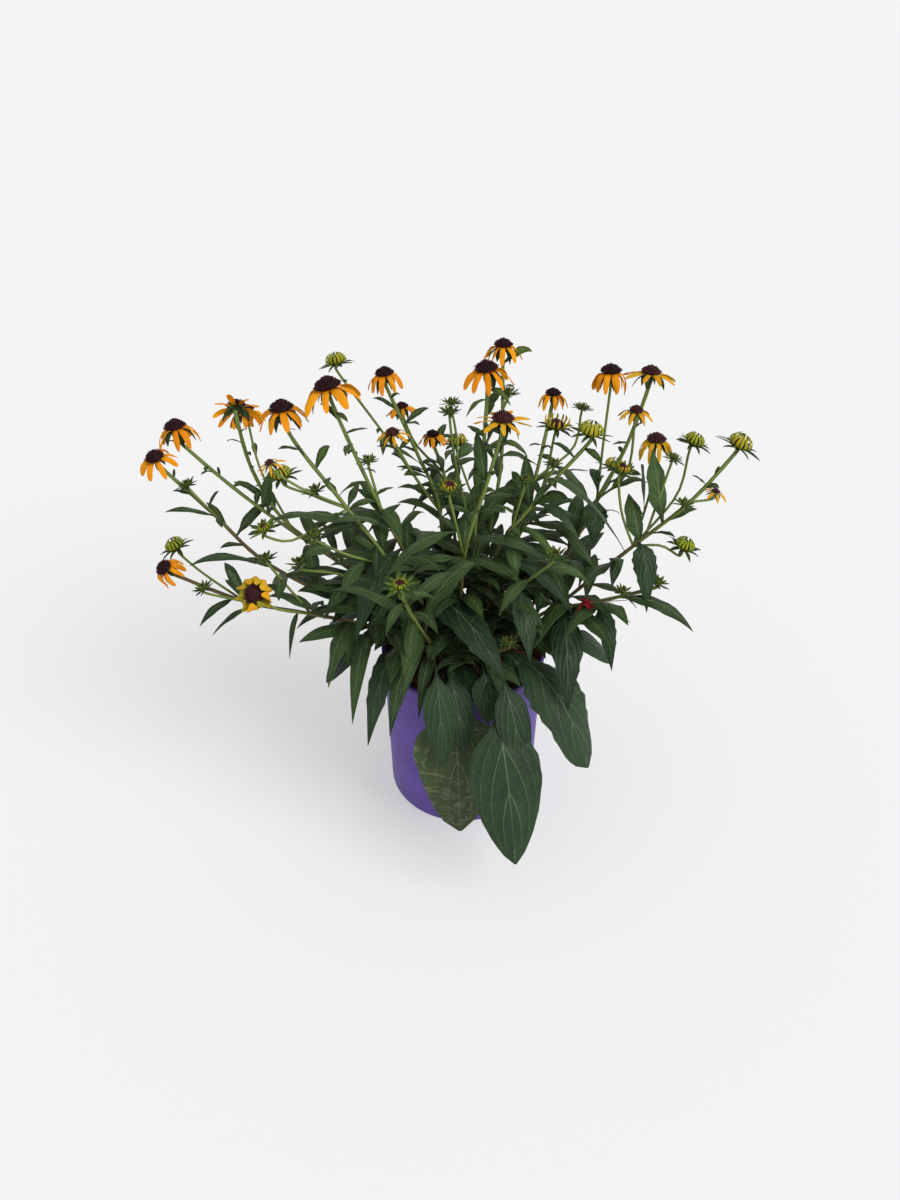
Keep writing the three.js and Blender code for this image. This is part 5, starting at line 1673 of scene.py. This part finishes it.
@dataclass
class Head:
    """A flower head at any stage: its receptacle and bracts, rays and disc."""

    growth: Growth
    templates: Templates
    green: list[bpy.types.Object] = field(default_factory=list)
    rays: list[bpy.types.Object] = field(default_factory=list)
    discs: list[bpy.types.Object] = field(default_factory=list)

    def build(self) -> None:
        """Models the head's parts by its kind."""
        kind = self.growth.shoot.kind
        if kind is BLOOM:
            self._bloom()
        else:
            self._closed(self._opening() if kind is OPENING else HEAD_PLANS[kind])
        cup = toned(copied(self.templates.receptacle), 0.3 if kind is BLOOM else 0.8)
        cup.data.transform(self.growth.place @ Matrix.Scale(self.growth.detail.size, 4))
        self.green.append(cup)

    def _ring(self, blade: Blade, plan: RingPlan) -> list[bpy.types.Object]:
        """A ring of like blades round the head.

        Args:
            blade: Their template.
            plan: Their number, form and place.

        Returns:
            The blades.
        """
        index, salt, size = self.growth.index, plan.salt, self.growth.detail.size * MM
        ring = []
        for i in range(plan.count):
            own = [jitter(index + salt, i), jitter(i + salt, index), jitter(index + i, salt)]
            share = (i + plan.offset + 0.25 * (own[0] - 0.5)) / plan.count + jitter(index, 3)
            start, crest, end = plan.points
            end = (end[0] + plan.spread * (own[1] - 0.5), end[1] + plan.spread * (own[2] - 0.5))
            line = [(r * size, h * size) for r, h in (start, crest, end)]
            midrib = Midrib.of_head(self.growth.place, 2 * math.pi * share - math.pi / 2, line)
            lay = Lay(plan.half * size * (0.85 + 0.3 * own[0]), plan.fold, twist=0.8 * (own[1] - 0.5))
            ring.append(blade.bent(midrib, lay, plan.tone + 0.25 * (own[2] - 0.5)))
        return ring

    def _closed(self, plan: HeadPlan) -> None:
        """Models a head that isn't fully open: its bracts, its young rays and its disc.

        Args:
            plan: The plan of its kind.
        """
        for ring in plan.bracts:
            self.green += self._ring(self.templates.bract, ring)
        for ring in plan.rays:
            self.rays += self._ring(self.templates.young_ray, ring)
        wide, high = (share * self.growth.detail.size for share in plan.disc)
        self.discs.append(self.templates.young_disc.placed(self.growth.place, wide, high))

    def _bloom(self) -> None:
        """An open bloom: long and short bracts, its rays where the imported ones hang, and its disc."""
        detail = self.growth.detail
        hang = 3 * detail.droop / 90
        long = RingPlan(5, 0, [(4.4, -3), (13, -2), (17.5 - hang, -17)], 4, 5, 0.16, 31)
        short = RingPlan(6, 0.5, [(4.2, -3.4), (8.5, -3.4), (11 - hang, -9.5)], 1.9, 3, 0.3, 37)
        for ring in (long, short):
            self.green += self._ring(self.templates.bract, ring)
        finder = TipFinder(f"{self.growth.shoot.bloom}_rays")
        for i in range(detail.rays):
            self.rays.append(self._ray(finder, i))
        disc = self.templates.brown_disc if detail.young else self.templates.disc
        wide = detail.size * (1 if detail.reach == 1 else 0.85)
        self.discs.append(disc.placed(self.growth.place, wide, detail.size))

    def _ray(self, finder: TipFinder, i: int) -> bpy.types.Object:
        """One ray of an open bloom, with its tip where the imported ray's is.

        Args:
            finder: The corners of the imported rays.
            i: The ray's number.

        Returns:
            The ray.
        """
        detail, index, place = self.growth.detail, self.growth.index, self.growth.place
        size = detail.size * MM
        angle = 2 * math.pi * (jitter(index, 5) + (i + 0.3 * jitter(index, i + 20)) / detail.rays)
        start = 0.5 * HUB_RADIUS * size
        chosen = None
        for _, lift, scale in TRIES:
            hang = math.radians(detail.droop + 10 * (jitter(index, i) - 0.5) - 1.5 * lift)
            reach = RAY_LENGTH * detail.reach * size * scale * (0.92 + 0.16 * jitter(i, index))
            tip = (start + 3 * size + reach * math.cos(hang), -reach * math.sin(hang))
            height = tip[1] + RAY_THICKNESS / 2 * MM
            corner = Vector((tip[0] * math.cos(angle), tip[0] * math.sin(angle), height))
            if finder.has(place @ corner):
                chosen = (tip, reach)
                break
        if chosen is None:
            reach = 0.4 * RAY_LENGTH * size
            chosen = ((start + 3 * size + reach, 0), reach)
        tip, reach = chosen
        sway, wide = jitter(index + i, 8) - 0.5, 0.75 + 0.3 * jitter(i, index + 2)
        points = [(start, 0), (start + 0.55 * reach + 2 * size, (0.6 + 1.6 * wide) * size), tip]
        blade, tone = self.templates.ray, 0.2 + 0.8 * jitter(index, i + 40)
        if detail.young:
            blade, tone, wide = self.templates.young_ray, 0.8 + 0.4 * sway, 0.8 * wide
        if detail.reach < 1:
            points = [(start, 0), (24 * size, -1 * size), (9.5 * size, 9 * size)]
            tone, wide = 0.65 + 0.6 * sway, 2.1 * wide
        lay = Lay(RAY_HALF_WIDTH * size * wide, -0.24, 0.2, 1.5, sway, roll=0.4 * sway, twist=1.7 * sway)
        return blade.bent(Midrib.of_head(place, angle, points), lay, tone)

    def _opening(self) -> HeadPlan:
        """Plans an opening bud: a globe of narrow rays that curve in over the disc, above spreading bracts.

        Returns:
            The plan. A main head is larger, and a far opened one has rays that stand up.
        """
        opened = jitter(self.growth.index, 9)
        swell = 1.18 if self.growth.shoot.main else 1
        end = (13, 10.5) if opened > 0.8 else (4 + 3 * opened, 11 * swell)
        globe = [(6.2, -1.2), (17.5 * swell, 4), end]
        outer = RingPlan(9, 0, [(5, -2.6), (14, -0.5), (22.5 * swell, -3)], 2.4, 6, 0.42, 31, fold=0.2)
        inner = RingPlan(9, 0.5, [(5.5, -2), (12, -1), (15.5, 2)], 1.8, 4, 0.75, 37, fold=0.2)
        rays = RingPlan(15, 0.3, globe, 1.4 * swell, 1.5, 0.1 + 0.4 * opened, 41, fold=0)
        return HeadPlan([outer, inner], [rays], (0.82, 0.78))


@dataclass
class Stem:
    """One leafy stem: its shoots, leaves and heads."""

    plan: StemPlan
    number: int
    templates: Templates
    finishes: Finishes
    finder: TipFinder = field(init=False)
    growths: list[Growth] = field(init=False)
    side_buds: list[Growth] = field(init=False)
    green: list[bpy.types.Object] = field(default_factory=list)
    young_rays: list[bpy.types.Object] = field(default_factory=list)
    young_discs: list[bpy.types.Object] = field(default_factory=list)

    def __post_init__(self) -> None:
        """Works out the shoots."""
        self.finder = TipFinder(self.plan.name)
        shoots = enumerate(self.plan.shoots)
        self.growths = [Growth(self.plan, shoot, 10 * self.number + i) for i, shoot in shoots]
        more = enumerate(SIDE_BUDS.get(self.plan.name, []), len(self.growths))
        self.side_buds = [Growth(self.plan, shoot, 10 * self.number + i) for i, shoot in more]

    def build(self) -> None:
        """Models the stem and its open blooms and hands them in."""
        for growth in self.growths + self.side_buds:
            self.green.append(self._tube(growth))
            self._head(growth)
        self._listed_leaves()
        self._crown_leaves()
        for turn, growth in enumerate(self.growths):
            longest = LONGEST_LEAF if turn == 0 else LONGEST_LEAF / 2
            self._rule_leaves(growth, self.number + STEMS_IN_POT * turn, longest)
            self._small_leaves(growth)
        self._low_leaves()
        if self.plan.name == TWIG_STEM:
            self._withered_twig()
        name = self.plan.name
        handed_in(joined(f"{name}_foliage", self.green), [name])
        if self.young_rays:
            handed_in(joined(f"{name}_young_rays", self.young_rays), [name])
        if self.young_discs:
            handed_in(joined(f"{name}_young_discs", self.young_discs), [name])

    def _tube(self, growth: Growth) -> bpy.types.Object:
        """The round shoot, thicker at its foot, closed at both ends.

        Args:
            growth: The shoot's line.

        Returns:
            The tube.
        """
        count = max(10, round(growth.length() / 9))
        points = growth.line(count)
        radius = SIDE_RADIUS * MM
        if growth.shoot.main:
            radius = STEM_RADIUS * MM
            low = [vec((*self.plan.foot, SOIL_TOP - FOOT_DEPTH + step)) for step in (0.5, 12, 24, 32)]
            points = low + points
        line = np.array([points[0], *points, points[-1]])
        heights = line[:, 2] / MM
        radii = np.full(len(line), radius)
        if growth.shoot.main:
            radii = np.interp(heights, [FOOT_TOP - 10, FOOT_TOP + 40], [FOOT_RADIUS * MM, STEM_RADIUS * MM])
            swelling = np.array([0.12 * MM * math.sin(1.9 * i + self.number) for i in range(len(line))])
            radii = radii + swelling
        radii[0] = radii[-1] = 0
        line[0] += (line[0] - line[2]) * 0.01
        line[-1] += (line[-1] - line[-3]) * 0.01
        blush = jitter(self.number, 6)
        reach = 260 + 100 * blush if growth.shoot.main else 200 + 60 * blush
        tones = np.clip((reach - heights) / 60, 0, 1) * (0.35 + 0.65 * blush)
        return Tube().build(line, radii, tones, self.finishes.stalk)

    def _head(self, growth: Growth) -> None:
        """Models a head. An open bloom's rays and disc are pieces of their own.

        Args:
            growth: The shoot that ends in it.
        """
        head = Head(growth, self.templates)
        head.build()
        self.green += head.green
        if growth.shoot.bloom:
            bloom = growth.shoot.bloom
            handed_in(joined(f"{bloom}_ray_florets", head.rays), [f"{bloom}_rays"])
            handed_in(joined(f"{bloom}_disc_florets", head.discs), [f"{bloom}_cone"])
            return
        self.young_rays += head.rays
        self.young_discs += head.discs

    def _grow_leaf(
        self, root: Vector, tip: Vector, width: float, form: LeafForm, rise: float, salt: int
    ) -> None:
        """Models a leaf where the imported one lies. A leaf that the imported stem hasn't got is left out.

        Args:
            root: Its root.
            tip: Its tip as planned.
            width: Its width in mm.
            form: Its outline.
            rise: How far it arches, in mm.
            salt: A number that tells its variation from the others'.
        """
        for turn, lift, scale in TRIES:
            end = bent_tip(root, tip, turn, lift, scale)
            if not self.finder.has(end):
                continue
            number = self.number
            own = [jitter(number + 3, salt), jitter(salt, number + 5), jitter(salt + 7, number)]
            half = 0.5 * width * min(1, scale + 0.1) * MM
            broad = form in (BROAD, OLD)
            lay = Lay(
                half,
                fold=-0.1 - 0.08 * own[0],
                wave=0.06 if broad else 0.17,
                waves=1.5 + own[1],
                phase=own[2],
                roll=(0.08 if broad else 0.3) * (own[0] - 0.5),
                twist=(0.1 if broad else 0.7) * (own[1] - 0.5),
            )
            midrib = Midrib.of_leaf(root, end, rise * scale * MM)
            tone = self._tone_at(root.z, own[2])
            self.green.append(self.templates.leaves[form].bent(midrib, lay, tone))
            return

    def _listed_leaves(self) -> None:
        """Models the leaves that are set one by one."""
        samples = [point for growth in self.growths for point in growth.line(48)]
        for row, (stem, near, tip, width, form, rise) in enumerate(LEAVES):
            if stem == self.number + 1:
                root = min(samples, key=lambda point: (point - vec(near)).length)
                self._grow_leaf(root, vec(tip), width, form, rise, row)

    def _crown_leaves(self) -> None:
        """Models the low leaves that spread from the foot over the mix, fewer on a stem of few shoots."""
        for share, turn, length, width, climb, rise in CROWN_LEAVES[: len(self.growths) - 1]:
            root = self.growths[0].point(share)
            reach = length * (0.85 + 0.3 * jitter(self.number, 11 + turn))
            azimuth = GOLDEN_ANGLE * (self.number + turn)
            tip = root + vec((math.cos(azimuth) * reach, math.sin(azimuth) * reach, climb))
            self._grow_leaf(root, tip, width, LANCE, rise, 90 + turn)

    def _rule_leaves(self, growth: Growth, index: int, longest: float) -> None:
        """Models the leaves along a shoot, each a golden angle further round than the last.

        Args:
            growth: The shoot's line.
            index: The shoot's number among all.
            longest: The length of a leaf at its start, in mm.
        """
        shoot_length = growth.length()
        count = int(shoot_length / LEAF_SPACING)
        for i in range(1, count):
            share = i / count
            if (1 - share) * shoot_length < BARE_NECK:
                break
            azimuth, lift = GOLDEN_ANGLE * (i + 3 * index), math.radians(35 * share)
            root = growth.point(share)
            length = (longest + (SHORTEST_LEAF - longest) * share) * (0.85 + 0.3 * jitter(index, i))
            length *= height_share(root.z / MM)
            tip = root + way_to(azimuth, lift) * length * MM
            self._grow_leaf(root, tip, 0.25 * length, LANCE, 0.14 * length, 100 + index + i)

    def _small_leaves(self, growth: Growth) -> None:
        """Models the narrow leaves that thicken the middle of the plant, up to its bare necks.

        Args:
            growth: The shoot that bears them.
        """
        length = growth.length()
        step = FILL_STEP if growth.shoot.main else SIDE_FILL_STEP
        for i in range(1, int((length - 0.7 * BARE_NECK) / step)):
            share = i * step / length
            root = growth.point(share)
            own = [jitter(growth.index + 50, i), jitter(i + 60, growth.index), jitter(growth.index + i, 70)]
            inner = math.hypot(root.x, root.y) < FULL_RADIUS * MM
            if not inner and own[0] > 0.5:
                continue
            azimuth = GOLDEN_ANGLE * (i + growth.index) + 0.8 * own[1]
            size = (44 + 40 * own[2] if inner else 22 + 24 * own[2]) * height_share(root.z / MM)
            lift = -30 + 66 * own[0] if inner else 5 + 90 * own[0]
            self._fill_leaf(root, azimuth, lift, size, own)

    def _low_leaves(self) -> None:
        """Models the leaves that rise from the foot and arch over the mix, which they all but hide."""
        for i in range(FOOT_LEAVES):
            own = [jitter(self.number + 20, i), jitter(i + 30, self.number), jitter(self.number + i, 40)]
            root = self.growths[0].point(0.02 + 0.035 * i)
            azimuth = GOLDEN_ANGLE * (i + 2.6 * self.number)
            if root.y < 0 and i % 2:
                azimuth = -math.pi / 2 + 2 * (own[1] - 0.5)
            self._fill_leaf(root, azimuth, 6 + 26 * own[0], 44 + 34 * own[2], own)
        for i, (stem, root, tip, width, rise) in enumerate(LOW_LEAVES):
            if stem == self.plan.name:
                own = jitter(i, 77) - 0.5
                lay = Lay(0.5 * width * MM, -0.15, 0.08, 1.5, own, 0.3 * own, 0.4 * own)
                midrib = Midrib.of_leaf(vec(root), vec(tip), rise * MM)
                self.green.append(self.templates.leaves[TOOTHED].bent(midrib, lay, 0.2 + 0.3 * own))

    def _fill_leaf(
        self, root: Vector, azimuth: float, lift: float, length: float, own: list[float]
    ) -> None:
        """Models one narrow leaf, unless it would leave the plant's outline or dip into the pot.

        Args:
            root: Its root.
            azimuth: Its direction, in radians.
            lift: How far it rises above the level, in degrees.
            length: Its length in mm.
            own: Three numbers from 0 to 1 that make it differ.
        """
        tip = root + way_to(azimuth, math.radians(lift)) * length * MM
        if tip.z < (POT_HEIGHT + ABOVE_RIM) * MM or not self._inside(tip):
            return
        midrib = Midrib.of_leaf(root, tip, (0.14 + 0.16 * own[1]) * length * MM)
        if self._hides_mix(midrib):
            return
        half = (1 + 0.095 * length) * MM * (0.8 + 0.55 * own[1])
        roll, twist = 0.6 * (own[1] - 0.5), 1.1 * (own[2] - 0.5)
        lay = Lay(half, -0.2, 0.15, 1.5 + own[2], own[0], roll, twist)
        blade = self.templates.leaves[LANCE] if length > LANCE_LENGTH else self.templates.fill
        self.green.append(blade.bent(midrib, lay, self._tone_at(root.z, own[1])))

    @staticmethod
    def _hides_mix(midrib: Midrib) -> bool:
        """Whether a leaf lies over one of the bare spots of the mix, seen from the front and above.

        Args:
            midrib: The leaf's line.

        Returns:
            True where it does.
        """
        points = [Vector(midrib.point(share)) for share in (0.3, 0.5, 0.7, 0.85, 1)]
        gaps = [point - vec(spot) for spot in BARE_SPOTS for point in points]
        return any((gap - SEEN_FROM * gap.dot(SEEN_FROM)).length < SPOT_RADIUS * MM for gap in gaps)

    @staticmethod
    def _tone_at(height: float, own: float) -> float:
        """The tone of a leaf: deep low down, fresher and yellower up in the light."""
        return float(np.interp(height / MM, (200, 420), (0.05, 0.42))) + 0.3 * own

    def _withered_twig(self) -> None:
        """Models a thin dead twig with a crimson withered scrap on it, low on the right."""
        knots = [(104, -17, 248), (110, -32, 264), (120, -48, 281), (152, -54, 288)]
        line = np.array([vec(knots[0]), *(vec(knot) for knot in knots), vec(knots[-1])])
        radii = np.array([0, 0.9, 0.7, 0.6, 0.3, 0]) * MM
        line[0] -= (line[2] - line[1]) * 0.02
        line[-1] += (line[-2] - line[-3]) * 0.02
        self.green.append(Tube(6).build(line, radii, np.full(len(line), 1.0), self.finishes.stalk))
        for i in range(5):
            azimuth = 2 * math.pi * i / 5
            root = vec((116, -43, 276))
            tip = root + vec((9 * math.cos(azimuth), 6 * math.sin(azimuth), -7 + 4 * (i % 3)))
            midrib = Midrib.of_leaf(root, tip, 1.6 * MM)
            lay = Lay(2.6 * MM, 0.3, 0.5, 1.5, 0.2 * i, twist=1.2)
            self.young_rays.append(self.templates.withered.bent(midrib, lay, 0.2 * i))

    @staticmethod
    def _inside(tip: Vector) -> bool:
        """Whether a tip stays within the plant's own outline."""
        low, high = cad_box
        return all(low[i] < tip[i] < high[i] for i in range(3))


@dataclass
class Studio:
    """The floor, the light and the camera."""

    floor_size: float = 60
    sun_strength: float = 1.9
    sun_spread: float = 40
    sun_tilt: tuple[float, float] = (46, 56)
    sky_strength: float = 0.62
    sky: str = "#ffffff"
    eye: Point = (-13.6, -878, 958)
    pitch: float = 50.9
    lens: float = 34.08
    film: float = 36

    def build(self) -> None:
        """Sets the floor, the light and the camera."""
        bpy.ops.mesh.primitive_plane_add(size=self.floor_size, location=(0, 0, 0))
        floor = bpy.context.object
        floor.name = "floor"
        floor.data.materials.append(FloorFinish().make())
        self._light()
        self._camera()

    def _light(self) -> None:
        """A broad soft light from the upper right and a pale sky all round."""
        tilt, azimuth = (math.radians(a) for a in self.sun_tilt)
        bpy.ops.object.light_add(type="SUN", location=(1, -1, 2), rotation=(tilt, 0, azimuth))
        sun = bpy.context.object
        sun.data.energy = self.sun_strength
        sun.data.angle = math.radians(self.sun_spread)
        world = bpy.data.worlds.new("studio_sky")
        world.use_nodes = True
        sky = world.node_tree.nodes["Background"]
        sky.inputs["Color"].default_value = linear(self.sky)
        sky.inputs["Strength"].default_value = self.sky_strength
        bpy.context.scene.world = world
        bpy.context.scene.view_settings.view_transform = "Standard"

    def _camera(self) -> None:
        """The camera, above the pot and in front of it."""
        bpy.ops.object.camera_add(location=vec(self.eye), rotation=(math.radians(self.pitch), 0, 0))
        camera = bpy.context.object
        camera.data.sensor_fit = "VERTICAL"
        camera.data.sensor_height = self.film
        camera.data.sensor_width = self.film
        camera.data.lens = self.lens
        camera.data.clip_start = 0.01
        bpy.context.scene.camera = camera


def write_sizes() -> None:
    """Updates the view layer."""
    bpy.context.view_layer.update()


def main() -> None:
    """Builds the potted plant and its studio."""
    logging.basicConfig(level=logging.INFO, format="%(message)s")
    deselect_all()
    finishes = Finishes()
    templates = Templates(finishes)
    Pot().build()
    PottingMix().build()
    for number, plan in enumerate(STEMS):
        Stem(plan, number, templates, finishes).build()
    templates.clear()
    Studio().build()
    write_sizes()


if __name__ == "__main__":
    main()
